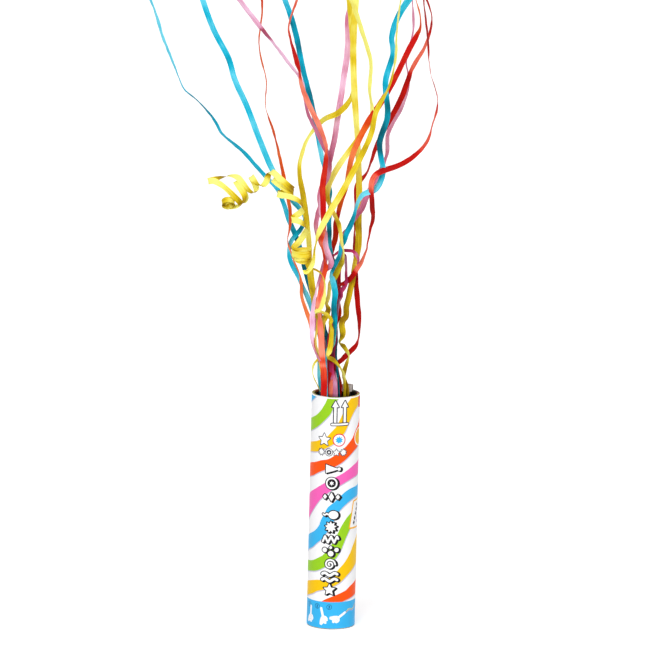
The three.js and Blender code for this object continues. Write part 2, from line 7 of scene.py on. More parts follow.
import bmesh
import bpy
from mathutils import Quaternion, Vector, geometry
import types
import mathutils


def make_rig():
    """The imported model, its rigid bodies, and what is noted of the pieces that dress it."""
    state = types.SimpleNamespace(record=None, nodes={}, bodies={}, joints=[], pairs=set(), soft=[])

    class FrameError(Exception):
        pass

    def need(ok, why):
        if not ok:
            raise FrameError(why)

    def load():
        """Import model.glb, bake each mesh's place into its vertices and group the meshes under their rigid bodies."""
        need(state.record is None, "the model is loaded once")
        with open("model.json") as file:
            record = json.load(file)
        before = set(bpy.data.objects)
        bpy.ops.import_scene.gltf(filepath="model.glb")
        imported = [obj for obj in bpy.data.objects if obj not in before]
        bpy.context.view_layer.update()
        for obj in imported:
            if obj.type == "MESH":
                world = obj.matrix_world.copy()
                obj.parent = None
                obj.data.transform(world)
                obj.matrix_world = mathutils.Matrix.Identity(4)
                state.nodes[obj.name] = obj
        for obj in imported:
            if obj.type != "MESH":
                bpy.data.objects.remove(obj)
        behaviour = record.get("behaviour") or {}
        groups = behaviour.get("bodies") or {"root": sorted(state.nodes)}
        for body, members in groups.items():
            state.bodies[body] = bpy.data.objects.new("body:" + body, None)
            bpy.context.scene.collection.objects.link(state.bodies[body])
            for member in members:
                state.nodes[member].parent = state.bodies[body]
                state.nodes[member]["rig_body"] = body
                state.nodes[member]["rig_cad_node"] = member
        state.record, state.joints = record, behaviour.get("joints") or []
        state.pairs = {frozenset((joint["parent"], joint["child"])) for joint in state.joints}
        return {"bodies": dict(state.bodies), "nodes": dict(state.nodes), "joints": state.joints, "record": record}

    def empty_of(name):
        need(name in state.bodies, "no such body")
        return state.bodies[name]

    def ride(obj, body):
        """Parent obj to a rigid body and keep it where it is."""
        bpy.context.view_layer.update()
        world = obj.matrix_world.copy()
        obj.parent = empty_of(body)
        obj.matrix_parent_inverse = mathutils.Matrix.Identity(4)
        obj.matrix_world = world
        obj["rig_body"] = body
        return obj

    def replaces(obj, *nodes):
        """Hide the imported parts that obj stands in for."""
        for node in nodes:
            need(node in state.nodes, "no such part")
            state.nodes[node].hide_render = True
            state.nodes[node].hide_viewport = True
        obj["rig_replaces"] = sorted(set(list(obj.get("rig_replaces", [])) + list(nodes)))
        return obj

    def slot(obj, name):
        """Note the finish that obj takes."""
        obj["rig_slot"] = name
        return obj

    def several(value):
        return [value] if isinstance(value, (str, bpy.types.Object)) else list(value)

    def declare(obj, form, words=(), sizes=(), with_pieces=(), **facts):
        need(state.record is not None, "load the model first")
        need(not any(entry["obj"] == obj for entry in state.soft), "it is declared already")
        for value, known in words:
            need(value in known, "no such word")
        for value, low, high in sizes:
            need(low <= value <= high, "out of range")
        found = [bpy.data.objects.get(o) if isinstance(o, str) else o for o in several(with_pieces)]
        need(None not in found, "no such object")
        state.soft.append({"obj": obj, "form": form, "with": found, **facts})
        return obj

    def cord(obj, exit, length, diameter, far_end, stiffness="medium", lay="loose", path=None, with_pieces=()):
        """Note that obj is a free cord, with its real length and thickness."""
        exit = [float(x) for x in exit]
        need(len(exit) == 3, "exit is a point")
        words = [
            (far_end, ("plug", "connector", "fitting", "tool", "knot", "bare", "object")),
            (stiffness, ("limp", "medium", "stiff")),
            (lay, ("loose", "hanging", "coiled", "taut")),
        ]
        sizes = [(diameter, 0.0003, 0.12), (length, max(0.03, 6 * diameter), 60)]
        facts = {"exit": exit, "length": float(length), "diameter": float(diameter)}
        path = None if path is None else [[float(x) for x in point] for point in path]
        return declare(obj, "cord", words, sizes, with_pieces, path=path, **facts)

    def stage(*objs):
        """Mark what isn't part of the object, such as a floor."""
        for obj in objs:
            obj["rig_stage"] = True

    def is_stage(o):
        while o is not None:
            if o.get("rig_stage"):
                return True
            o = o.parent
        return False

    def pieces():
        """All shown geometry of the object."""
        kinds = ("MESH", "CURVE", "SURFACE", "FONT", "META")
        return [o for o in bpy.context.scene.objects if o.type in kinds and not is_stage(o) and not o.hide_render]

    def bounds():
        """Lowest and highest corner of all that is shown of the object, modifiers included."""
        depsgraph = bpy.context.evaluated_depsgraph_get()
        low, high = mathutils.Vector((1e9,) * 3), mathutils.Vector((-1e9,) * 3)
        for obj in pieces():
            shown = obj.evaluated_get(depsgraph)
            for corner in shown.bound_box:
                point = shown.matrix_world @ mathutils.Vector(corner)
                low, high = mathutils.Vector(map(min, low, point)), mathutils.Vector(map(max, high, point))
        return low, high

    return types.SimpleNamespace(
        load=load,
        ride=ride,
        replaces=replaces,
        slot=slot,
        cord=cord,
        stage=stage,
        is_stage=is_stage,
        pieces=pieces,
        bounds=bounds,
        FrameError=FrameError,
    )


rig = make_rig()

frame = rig.load()
cadBox = [list(corner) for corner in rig.bounds()]
mm = 0.001
print("frame loaded:", len(frame["nodes"]), "nodes")


# Camera: as the photograph was taken, from a long way off and a little above.
shot = {"elevation": 12.2, "roll": 1.3, "distance": 6.0, "frameWidth": 412.3 * mm,
        "target": (-9.6 * mm, 0, 198.2 * mm)}


def makeCamera():
    data = bpy.data.cameras.new("camera")
    data.sensor_width = 36
    data.lens = data.sensor_width * shot["distance"] / shot["frameWidth"]
    data.clip_end = 100
    camera = bpy.data.objects.new("camera", data)
    tilt = math.radians(shot["elevation"])
    back = Vector((0, -math.cos(tilt), math.sin(tilt)))
    camera.location = Vector(shot["target"]) + back * shot["distance"]
    camera.rotation_mode = "QUATERNION"
    level = (-back).to_track_quat("-Z", "Y")
    camera.rotation_quaternion = level @ Quaternion((0, 0, 1), math.radians(shot["roll"]))
    bpy.context.scene.collection.objects.link(camera)
    bpy.context.scene.camera = camera


makeCamera()


# Small helpers for colours, node trees and finished pieces
def ink(red, green, blue):  # 0-255 as seen on a screen, to the linear values that nodes take
    linear = []
    for level in (red, green, blue):
        share = level / 255
        linear.append(share / 12.92 if share <= 0.04045 else ((share + 0.055) / 1.055) ** 2.4)
    return (*linear, 1)

def socketOf(sockets, name):  # by number, or by name among those that the node's type uses
    if isinstance(name, int):
        return sockets[name]
    return next(socket for socket in sockets if socket.name == name and socket.enabled)


def setInput(tree, node, name, value):  # a socket is linked in, anything else is set
    socket = socketOf(node.inputs, name)
    if isinstance(value, bpy.types.NodeSocket):
        tree.links.new(value, socket)
    else:
        socket.default_value = value


def addNode(tree, kind, inputs=None, **settings):
    node = tree.nodes.new(kind)
    for setting, value in settings.items():
        setattr(node, setting, value)
    for name, value in (inputs or {}).items():
        setInput(tree, node, name, value)
    return node


# The next ones add a node and give back the socket that it puts out.
def mathOf(tree, operation, *values):
    return addNode(tree, "ShaderNodeMath", dict(enumerate(values)), operation=operation).outputs[0]


def remapped(tree, value, low, high, toLow=0.0, toHigh=1.0):
    return addNode(tree, "ShaderNodeMapRange", {
        "Value": value, "From Min": low, "From Max": high, "To Min": toLow,
        "To Max": toHigh}).outputs["Result"]


def mixed(tree, factor, first, second, **settings):
    node = addNode(tree, "ShaderNodeMix", {"Factor": factor, "A": first, "B": second}, **settings)
    return socketOf(node.outputs, "Result")


def shaded(tree, colour, level):
    return mixed(tree, 1.0, colour, level, data_type="RGBA", blend_type="MULTIPLY")


def noiseOf(tree, place, scale, detail):
    return addNode(tree, "ShaderNodeTexNoise",
                   {"Vector": place, "Scale": scale, "Detail": detail}).outputs["Fac"]


def rampOf(tree, value, stops):  # stops: (place, colour), the two end ones first
    node = addNode(tree, "ShaderNodeValToRGB", {"Fac": value})
    elements = node.color_ramp.elements
    for number, (place, colour) in enumerate(stops):
        element = elements[number] if number < 2 else elements.new(place)
        element.position = place
        element.color = ink(*colour)
    return node.outputs["Color"]


def objectPlace(tree):
    return addNode(tree, "ShaderNodeTexCoord").outputs["Object"]


numberSockets = {float: "NodeSocketFloat", int: "NodeSocketInt"}


def newGroup(name, kind, inputs, outputs):  # an input is given as a number or a kind of socket
    tree = bpy.data.node_groups.new(name, kind)
    for title, given in inputs.items():
        numeric = type(given) in numberSockets
        socket = tree.interface.new_socket(title, in_out="INPUT",
                                           socket_type=numberSockets.get(type(given), given))
        if numeric:
            socket.default_value = given
    for title, socketType in outputs.items():
        tree.interface.new_socket(title, in_out="OUTPUT", socket_type=socketType)
    return tree, tree.nodes.new("NodeGroupInput"), tree.nodes.new("NodeGroupOutput")


def newMaterial(name):
    material = bpy.data.materials.new(name)
    material.use_nodes = True
    tree = material.node_tree
    surface = next(node for node in tree.nodes if node.type == "BSDF_PRINCIPLED")
    return material, tree, surface


def dress(tree, surface, colour, height, relief, strength, roughness, specular):
    bump = addNode(tree, "ShaderNodeBump", {"Height": height, "Distance": relief,
                                            "Strength": strength})
    for name, value in (("Base Color", colour), ("Normal", bump.outputs["Normal"]),
                        ("Roughness", roughness), ("Specular IOR Level", specular)):
        setInput(tree, surface, name, value)


def addPiece(name, mesh, slotName, replaced=(), body="stick"):
    piece = bpy.data.objects.new(name, mesh)
    bpy.context.scene.collection.objects.link(piece)
    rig.ride(piece, body)
    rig.slot(piece, slotName)
    if replaced:
        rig.replaces(piece, *replaced)
    return piece


# Shared effects
def makePaperFibres():  # long fibres, soft creases across them, and the mottling of thin dyed paper
    tree, given, out = newGroup(
        "paperFibres", "ShaderNodeTree",
        {"Place": "NodeSocketVector", "Fibre Density": 2600.0, "Fibre Length": 0.03,
         "Crease Density": 240.0, "Mottle Density": 90.0},
        {"Shade": "NodeSocketFloat", "Height": "NodeSocketFloat"})
    place = given.outputs["Place"]
    stretch = addNode(tree, "ShaderNodeCombineXYZ",
                      {"X": given.outputs["Fibre Length"], "Y": 1.0, "Z": 1.0})
    long = addNode(tree, "ShaderNodeVectorMath", {0: place, 1: stretch.outputs[0]},
                   operation="MULTIPLY")
    fibres = noiseOf(tree, long.outputs[0], given.outputs["Fibre Density"], 3.0)
    creases = noiseOf(tree, place, given.outputs["Crease Density"], 2.0)
    mottle = noiseOf(tree, place, given.outputs["Mottle Density"], 2.0)
    setInput(tree, out, "Shade", mixed(tree, 0.4, fibres, mottle))
    setInput(tree, out, "Height", mixed(tree, 0.45, fibres, creases))
    return tree


paperFibres = makePaperFibres()


def addFibres(tree, place, values=None):
    return addNode(tree, "ShaderNodeGroup", {"Place": place, **(values or {})},
                   node_tree=paperFibres).outputs


# Streamer paper: each dye as a shaded, a middle and a lit colour, which the painted tone along a
# strip picks from as painted light and shade. Inside the tube the paper darkens as painted shade.
litAndShadedDyes = {
    "cyan": ((0, 96, 116), (0, 180, 212), (120, 226, 248)),
    "yellow": ((158, 120, 0), (232, 204, 28), (255, 252, 132)),
    "red": ((168, 4, 2), (214, 22, 8), (255, 134, 106)),
    "coral": ((196, 4, 2), (230, 76, 42), (255, 148, 122)),
    "orange": ((200, 10, 2), (228, 90, 12), (255, 138, 80)),
    "pink": ((176, 72, 102), (218, 128, 164), (255, 208, 236)),
    "magenta": ((158, 8, 66), (196, 62, 112), (224, 170, 206)),
    "taupe": ((126, 110, 98), (176, 162, 150), (236, 230, 226)),
}
stripWidth = 4
streamerPaper = {"width": stripWidth * mm, "thickness": 0.12 * mm, "cuts": 4, "cup": 0.22 * mm,
                 "crinkle": 0.28 * mm, "crinkleDensity": 170.0, "wobble": 0.05,
                 "turnSway": 8, "turnWaves": (4.3, 13), "toneSway": 0.13, "toneWaves": (3.1, 11),
                 "toneSpread": 0.24, "roughness": 0.6, "specular": 0.12, "bump": 0.25,
                 "relief": 0.2 * mm, "step": 1.2 * mm,
                 "tubeShadeFoot": 149.3 * mm, "tubeShadeTop": 152.8 * mm, "tubeShadeDark": 0.05}


def makeStreamerPaper(dye):
    deep, middle, light = litAndShadedDyes[dye]
    paper, spread = streamerPaper, streamerPaper["toneSpread"]
    material, tree, surface = newMaterial(f"{dye}StreamerPaper")
    place = addNode(tree, "ShaderNodeAttribute", attribute_name="stripPlace")
    tone = addNode(tree, "ShaderNodeAttribute", attribute_name="tone")
    fibres = addFibres(tree, place.outputs["Vector"])
    # Painted light and shade: the tone picks the shaded, middle or lit colour of the dye.
    shadeAndFibreTone = mathOf(tree, "ADD", tone.outputs["Fac"],
                  remapped(tree, fibres["Shade"], 0.35, 0.65, -spread, spread))
    colour = rampOf(tree, shadeAndFibreTone, ((0, deep), (1, light), (0.5, middle)))
    # Painted shade: from just above the mouth downwards the paper darkens nearly to black, for the shade inside the
    # tube.
    spot = addNode(tree, "ShaderNodeSeparateXYZ", {"Vector": objectPlace(tree)})
    tubeShade = remapped(tree, spot.outputs["Z"], paper["tubeShadeFoot"], paper["tubeShadeTop"],
                     paper["tubeShadeDark"])
    dress(tree, surface, shaded(tree, colour, tubeShade), fibres["Height"], paper["relief"],
          paper["bump"], paper["roughness"], paper["specular"])
    return material


dyedPapers = {dye: makeStreamerPaper(dye) for dye in litAndShadedDyes}


# Strip of paper along a spine: the spine's points carry the way the face looks (faceOut), the
# share of the full width (widthShare), painted light and shade (tone) and the distance so far (along).
def makePaperStripTree():
    tree, given, out = newGroup(
        "paperStrip", "GeometryNodeTree",
        {"Geometry": "NodeSocketGeometry", "Width": 0.004, "Thickness": 0.00012, "Cuts": 4,
         "Cup": 0.0002, "Crinkle": 0.00016, "Crinkle Density": 150.0, "Seed": 1,
         "Material": "NodeSocketMaterial"},
        {"Geometry": "NodeSocketGeometry"})
    given = given.outputs

    def carried(name, kind):
        return addNode(tree, "GeometryNodeInputNamedAttribute", {"Name": name},
                       data_type=kind).outputs["Attribute"]

    def stored(piece, name, value, kind):
        return addNode(tree, "GeometryNodeStoreNamedAttribute",
                       {"Geometry": piece, "Name": name, "Value": value},
                       data_type=kind, domain="POINT").outputs["Geometry"]

    def moved(piece, offset):
        return addNode(tree, "GeometryNodeSetPosition",
                       {"Geometry": piece, "Offset": offset}).outputs["Geometry"]

    spine = addNode(tree, "GeometryNodeMeshToCurve", {"Mesh": given["Geometry"]})
    tangent = addNode(tree, "GeometryNodeInputTangent")
    wide = addNode(tree, "ShaderNodeVectorMath",
                   {0: tangent.outputs[0], 1: carried("faceOut", "FLOAT_VECTOR")},
                   operation="CROSS_PRODUCT")
    facing = addNode(tree, "GeometryNodeSetCurveNormal",
                     {"Curve": spine.outputs["Curve"], "Normal": wide.outputs[0]}, mode="FREE")
    outline = addNode(tree, "GeometryNodeCurvePrimitiveQuadrilateral",
                      {"Width": given["Width"], "Height": given["Thickness"]})
    # The long sides are the first and third of the outline, and only they are cut.
    index = addNode(tree, "GeometryNodeInputIndex")
    even = mathOf(tree, "SUBTRACT", 1.0, mathOf(tree, "MODULO", index.outputs[0], 2.0))
    cut = addNode(tree, "GeometryNodeSubdivideCurve",
                  {"Curve": outline.outputs["Curve"],
                   "Cuts": mathOf(tree, "MULTIPLY", even, given["Cuts"])})
    position = addNode(tree, "GeometryNodeInputPosition")
    split = addNode(tree, "ShaderNodeSeparateXYZ", {"Vector": position.outputs[0]})
    half = mathOf(tree, "DIVIDE", split.outputs["X"], given["Width"])
    bow = mathOf(tree, "MULTIPLY_ADD", mathOf(tree, "MULTIPLY", half, half), -4.0, 1.0)
    lift = addNode(tree, "ShaderNodeCombineXYZ", {"Y": mathOf(tree, "MULTIPLY", bow, given["Cup"])})
    placed = stored(cut.outputs["Curve"], "across", split.outputs["X"], "FLOAT")
    swept = addNode(tree, "GeometryNodeCurveToMesh",
                    {"Curve": facing.outputs["Curve"],
                     "Profile Curve": moved(placed, lift.outputs[0]),
                     "Scale": carried("widthShare", "FLOAT"), "Fill Caps": True})
    noise = addNode(tree, "ShaderNodeTexNoise",
                    {"Vector": position.outputs[0], "W": given["Seed"], "Detail": 1.0,
                     "Scale": given["Crinkle Density"]}, noise_dimensions="4D")
    swing = remapped(tree, noise.outputs["Fac"], 0.25, 0.75, -1.0, 1.0)
    offset = addNode(tree, "ShaderNodeVectorMath",
                     {0: carried("faceOut", "FLOAT_VECTOR"),
                      "Scale": mathOf(tree, "MULTIPLY", swing, given["Crinkle"])},
                     operation="SCALE")
    onStrip = addNode(tree, "ShaderNodeCombineXYZ",
                      {"X": carried("along", "FLOAT"), "Y": carried("across", "FLOAT"),
                       "Z": given["Seed"]})
    mapped = stored(moved(swept.outputs["Mesh"], offset.outputs[0]), "stripPlace",
                    onStrip.outputs[0], "FLOAT_VECTOR")
    real = addNode(tree, "GeometryNodeRealizeInstances", {"Geometry": mapped})
    finish = addNode(tree, "GeometryNodeSetMaterial",
                     {"Geometry": real.outputs["Geometry"], "Material": given["Material"]})
    setInput(tree, out, "Geometry", finish.outputs["Geometry"])
    return tree


paperStrip = makePaperStripTree()


def grownMesh(name, source, tree, values):  # the tree's result on an object, as a plain mesh
    holder = bpy.data.objects.new(f"{name}Spine", source)
    bpy.context.scene.collection.objects.link(holder)
    modifier = holder.modifiers.new(tree.name, "NODES")
    modifier.node_group = tree
    for item in tree.interface.items_tree:
        if item.in_out == "INPUT" and item.name in values:
            modifier[item.identifier] = values[item.name]
    shown = bpy.context.evaluated_depsgraph_get()
    mesh = bpy.data.meshes.new_from_object(holder.evaluated_get(shown), depsgraph=shown,
                                           preserve_all_data_layers=True)
    mesh.name = name
    holder.modifiers.remove(modifier)
    bpy.data.objects.remove(holder)
    return mesh


def pathLength(points):
    return sum((after - before).length for before, after in zip(points, points[1:]))


def turnOutwards(mesh):  # a closed strip whose faces look inwards is turned inside out
    shape = bmesh.new()
    shape.from_mesh(mesh)
    if shape.calc_volume(signed=True) < 0:
        bmesh.ops.reverse_faces(shape, faces=shape.faces)
    shape.to_mesh(mesh)
    shape.free()


def makeStrip(title, stations, dye, seed, **changes):
    spine = bpy.data.meshes.new(f"{title}Spine")
    points = [station["at"] for station in stations]
    spine.from_pydata(points, [(first, first + 1) for first in range(len(points) - 1)], [])
    faceOut = spine.attributes.new("faceOut", "FLOAT_VECTOR", "POINT")
    faceOut.data.foreach_set("vector", [value for station in stations for value in station["face"]])
    along = 0
    distances = [0]
    for before, after in zip(points, points[1:]):
        along += (after - before).length
        distances.append(along)
    for name, values in (("widthShare", [station.get("share", 1) for station in stations]),
                          ("tone", [station["tone"] for station in stations]),
                         ("along", distances)):
        spine.attributes.new(name, "FLOAT", "POINT").data.foreach_set("value", values)
    settings = {**streamerPaper, **changes}
    mesh = grownMesh(title, spine, paperStrip, {
        "Width": settings["width"], "Thickness": settings["thickness"], "Cuts": settings["cuts"],
        "Cup": settings["cup"], "Crinkle": settings["crinkle"],
        "Crinkle Density": settings["crinkleDensity"], "Seed": seed, "Material": dyedPapers[dye]})
    turnOutwards(mesh)
    mesh.shade_smooth()
    mesh.set_sharp_from_angle(angle=math.radians(50))
    return mesh

def addPaper(node, stations, dye, seed, body="stick", **changes):
    return addPiece(f"{node}_paper", makeStrip(node, stations, dye, seed, **changes),
                    f"paper_{dye}", [node], body)


# Streamers, from the front one to the back one. Each lies on its own curved sheet in depth, so
# that no two touch. A knot of a route is (across, up as seen by the camera, turn of the paper in
# degrees, painted light and shade as a tone from 0, deep, to 1, light), and a fifth number brings it
# forwards by so many mm. Its place across in the mouth is atMouth, and share scales its width.
streamerSheets = {"pitch": 0.95, "front": -9.5, "bunchDepth": 0.65, "bunchWidth": 0.5,
                  "fanRise": 25, "fanReach": 250, "fanGain": 6, "swayDepth": 8, "swayLength": 42,
                  "swayLag": 0.09}
tube = {"length": 152.5, "tailStart": 6.35}
streamers = [
    {"name": "streamer_yellow_diagonal", "dye": "yellow", "atMouth": 5.6, "route": [
        (5.4, 154, 62, 0.35, -6), (5, 158.4, 62, 0.8, -4.5), (3.1, 163.8, 60, 0.85, -1.5),
        (0.3, 167.5, 55, 0.6), (-2.4, 170.2, 35, 0.15), (-5, 171.6, 45, 0.3),
        (-6.1, 173.2, 76, 0.9, 0.6), (-5.1, 175.1, 45, 0.75, 1), (-4.1, 178.9, 40, 0.35, 0.6),
        (-3.7, 185.1, 45, 0.3), (-3.7, 189.2, 50, 0.5), (-4.8, 193.7, 60, 0.45),
        (-4.1, 195.2, 50, 0.45), (-6.8, 198.7, 40, 0.6), (-10.1, 200.3, 40, 0.85),
        (-13.1, 200.4, 52, 1, 0.4), (-14, 200.9, 80, 1, 1.2), (-12.3, 201.9, 72, 0.9, 1.8),
        (-10.5, 204, 55, 1, 1.6), (-9.3, 208, 52, 0.95, 1), (-8.8, 212.6, 66, 1),
        (-8.9, 217.7, 72, 0.9), (-9.9, 222.5, 74, 0.8), (-11.3, 225.1, 80, 0.5),
        (-13.4, 226.4, 84, 0.35), (-16.1, 227.6, 80, 0.4), (-18.5, 227.7, 66, 0.85),
        (-20.9, 226.7, 58, 1, 0.4), (-21.9, 226.1, 76, 1, 1.2), (-20.4, 225.8, 70, 0.8, 1.8),
        (-18.3, 228.3, 50, 0.9, 1.6), (-16.6, 231.6, 55, 0.95, 1), (-16, 234.6, 64, 0.7, 0.5),
        (-15.7, 239.4, 74, 0.3), (-14.9, 244, 78, 0.6), (-14.2, 248.1, 66, 0.9),
        (-12.6, 252.2, 45, 0.95), (-10.3, 256.8, 30, 0.85), (-7.5, 262, 20, 0.72),
        (-4.6, 267.4, 15, 0.7), (-1.5, 272.6, 20, 0.75), (5.5, 285.5, 25, 0.5),
        (18, 312.5, 38, 0.4), (21.5, 328, 50, 0.5), (28, 341, 74, 0.4), (30.5, 349, 78, 0.5),
        (33, 364.5, 74, 0.95), (33, 376.5, 76, 0.95), (35.5, 404, 82, 0.95)]},
    {"name": "streamer_coral_mid", "dye": "coral", "atMouth": -7.7, "route": [
        (-7.7, 155, 5, 0.02), (-7.9, 159, 5, 0.3), (-8.2, 164, 8, 0.5), (-8.5, 164.8, 12, 0.62),
        (-8.7, 166.2, 12, 0.9), (-9.1, 169.7, 20, 0.4), (-9.4, 173.7, 10, 0.95),
        (-9.9, 178, 12, 0.92), (-10.2, 183.6, 15, 0.85), (-10.8, 189.8, 20, 0.9),
        (-11.2, 194.9, 35, 0.85), (-11.5, 197.2, 50, 0.95), (-12.3, 203.1, 25, 0.75),
        (-11.8, 208.5, 12, 0.78), (-10.7, 213.9, 25, 0.74), (-9.9, 220.1, 45, 0.65),
        (-9.1, 225.3, 50, 0.45), (-8.3, 229.3, 40, 0.2), (-9.2, 233.3, 60, 0.3),
        (-9.4, 235.6, 58, 0.15), (-10.5, 239.8, 66, 0.6), (-11.9, 244.1, 50, 0.85),
        (-11.6, 247.6, 40, 0.3), (-10.1, 252.2, 55, 0.85), (-10.2, 258.4, 30, 0.2),
        (-10.7, 264.3, 25, 0.02), (-10.9, 270.5, 20, 0.05), (-11.5, 279, 18, 0.12),
        (-9.8, 296, 45, 0.1), (-9.7, 302, 74, 0.5), (-10.6, 308, 45, 0.85),
        (-14.5, 318, 25, 0.9), (-22.4, 333.5, 28, 0.9), (-26.6, 344.5, 52, 0.95),
        (-27.4, 350, 60, 0.05), (-29.6, 358, 35, 0), (-33.5, 371, 62, 0.1),
        (-35, 380, 78, 0.5), (-29, 399.5, 80, 0.9), (-27.5, 404, 80, 0.9)]},
    {"name": "streamer_cyan_right", "dye": "cyan", "atMouth": -7, "route": [
        (-7.4, 160, 20, 0.4), (-8, 170, 30, 0.4), (-7, 174.5, 40, 0.4), (-4, 178, 60, 0.6),
        (-2.3, 180.3, 72, 1), (-1.6, 184.6, 70, 1), (-1.4, 187.9, 68, 0.5), (-1.6, 193.3, 45, 0.25),
        (-1.6, 195.8, 35, 0.25), (-2.4, 201.5, 20, 0.15), (-2.4, 206.8, 28, 0.25),
        (-2, 212.2, 18, 0.4), (-2.9, 217.6, 12, 0.6), (-4, 221.9, 25, 0.85),
        (-4.8, 224.8, 66, 0.9), (-3.7, 227.8, 70, 0.2), (-2.2, 231.1, 64, 0.3),
        (-0.4, 235.1, 62, 0.25), (0.5, 237.7, 62, 0.4), (1.2, 242.5, 48, 0.4), (3, 246.1, 35, 0.2),
        (4.4, 250.7, 38, 0.35), (6.9, 256.1, 45, 0.25), (8.7, 261.5, 58, 0.35),
        (9.9, 266.4, 66, 0.55), (11.6, 271.6, 66, 1), (14.4, 275.6, 58, 0.95),
        (22.5, 279.5, 30, 0.85), (26.5, 289.5, 30, 0.65), (24, 308, 25, 0), (28.6, 325.5, 25, 0.2),
        (26.8, 347, 25, 0.45), (31, 364.5, 32, 0.5), (30, 375, 30, 0.55), (34, 388, 22, 0.5),
        (44, 404, 12, 0.6)]},
    {"name": "streamer_pink_left", "dye": "pink", "atMouth": -6.4, "route": [
        (-7, 158, 60, 0.9), (-8.2, 164, 60, 0.85), (-11.6, 170.8, 66, 0.5),
        (-13.1, 173.6, 66, 0.45), (-15, 177.9, 66, 0.8), (-16, 181.9, 55, 0.9),
        (-16.1, 186.2, 45, 1), (-16.1, 191.6, 38, 1), (-16.2, 196.4, 35, 1),
        (-16.2, 197.1, 38, 0.95), (-15.8, 202.5, 50, 0.9), (-15.1, 207.1, 64, 0.9),
        (-14.5, 211.1, 68, 0.95), (-13.8, 215.5, 72, 0.9), (-12.5, 220.6, 66, 0.5),
        (-10.9, 224.7, 60, 0.4), (-8.3, 227.7, 50, 0.35), (-5.9, 229.4, 40, 0.4),
        (-4.9, 231.8, 30, 0.6), (-5.8, 234.8, 28, 0.8), (-7.2, 238, 15, 0.92),
        (-9.1, 243.4, 15, 0.98), (-9, 248.2, 40, 0.9), (-9, 252.5, 60, 0.8),
        (-10.9, 257.3, 64, 0.9), (-12.3, 261.6, 62, 1), (-12.6, 266.4, 60, 0.8),
        (-11.5, 279, 50, 0.6), (-7.9, 288, 45, 0.5), (-7.8, 297.5, 35, 0.15),
        (-12, 307, 40, 0.3), (-22, 326.5, 55, 0.3), (-26.5, 346.5, 55, 0.9),
        (-34.5, 357, 45, 0.98), (-45, 370, 45, 0.9), (-47.6, 373, 40, 0.05),
        (-51.6, 377.6, 35, 0.1), (-53, 379.2, 28, 0.8), (-68.5, 398.5, 25, 0.85),
        (-72, 404, 25, 0.8)]},
    {"name": "streamer_yellow_curly", "dye": "yellow", "atMouth": -7.2, "endsUnderDrum": True,
     "route": [
        (-8.5, 160, 40, 0.4), (-11.6, 172.3, 66, 0.9), (-13.3, 178.7, 70, 1),
        (-13.8, 184.4, 70, 0.95), (-12.9, 191.1, 60, 0.5), (-12, 196.5, 55, 0.35),
        (-11.9, 197.2, 50, 0.35), (-12.6, 202.6, 50, 0.45), (-14.7, 209, 60, 0.1),
        (-15.6, 212.5, 45, 0.3), (-16.7, 218.1, 25, 0.3), (-17.5, 222.9, 15, 0.42),
        (-18.3, 227.7, 15, 0.3)]},
    {"name": "streamer_yellow_pale", "dye": "yellow", "atMouth": -7.4, "route": [
        (-8.3, 162, 20, 0.4), (-10, 176, 20, 0.5), (-10, 187, 30, 0.5), (-9.2, 194, 30, 0.5),
        (-6.9, 199.2, 30, 0.2), (-6, 202.4, 35, 0.15), (-7.3, 205.9, 60, 0.95),
        (-6.3, 209.7, 60, 0.9), (-5.7, 214.6, 55, 0.95), (-5.4, 218.3, 50, 1),
        (-2.8, 222.4, 35, 0.4), (-0.9, 226.3, 28, 0.35), (0.8, 230.9, 28, 0.4, 1),
        (1.9, 233.1, 42, 0.5, 4), (2.7, 237.2, 64, 0.7, 7), (2.6, 241.2, 74, 0.95, 8),
        (1.4, 246.3, 66, 0.95, 7), (0.6, 251.7, 55, 0.75, 4), (-0.8, 257.3, 40, 0.3, 1.5),
        (-3.2, 261.8, 42, 0.85), (-5.1, 265.8, 45, 0.7), (-8, 272, 40, 0.3), (-7.6, 281, 30, 0.85),
        (-1.5, 293.5, 30, 0.9), (10.5, 311, 40, 0.4), (18.6, 325, 60, 1.05), (16.9, 342, 56, 1.1),
        (17.2, 359, 54, 1.1), (11, 379, 40, 1.1), (2, 404, 30, 0.85)]},
    {"name": "streamer_magenta_loop", "dye": "magenta", "atMouth": -0.6, "share": 0.9, "route": [
        (-1.1, 154.5, 15, 0.85), (-2.2, 159.1, 20, 0.5), (-3.1, 163.1, 22, 0.15),
        (-3.3, 167.6, 30, 0.1), (-2.5, 172.5, 60, 0.35), (-2, 176.8, 64, 0.45),
        (-0.9, 182, 70, 0.3), (-0.5, 187.9, 80, 0.6), (-0.2, 195.2, 80, 0.6),
        (-0.3, 200.2, 72, 0.7), (0.2, 204.2, 66, 0.95), (0.7, 208.3, 60, 0.85), (1.7, 211, 42, 0.3),
        (1.7, 213.9, 40, 0.4), (3.4, 216.1, 48, 0.3), (4.9, 219.4, 55, 0.25),
        (4.9, 223.7, 58, 0.35), (4.7, 228.5, 56, 0.75), (4.3, 232.8, 55, 0.95),
        (4.2, 235.1, 58, 0.9), (3.4, 237.9, 70, 0.3), (0.3, 239, 76, 0.25, -0.5),
        (-2.6, 237.2, 80, 0.15), (-3.9, 235.9, 84, 0.05, 1.2), (-2.6, 237.9, 80, 0.1, 2.6),
        (-0.2, 239.6, 76, 0.15, 3), (3, 240.5, 74, 0.1, 3), (5.9, 240.5, 74, 0.1, 3),
        (8.6, 240.2, 74, 0.2, 3), (11, 238, 68, 0.75, 3), (12.4, 235, 66, 0.5, 3),
        (12.3, 233.8, 66, 0.4, 3), (11.7, 232.1, 66, 0.5, 3)]},
    {"name": "streamer_red_far_right", "dye": "red", "atMouth": -6.4, "route": [
        (-6.2, 156, 20, 0.2), (-4.6, 161.5, 30, 0.15), (-4.3, 166, 40, 0.1), (-4.8, 172, 50, 0.2),
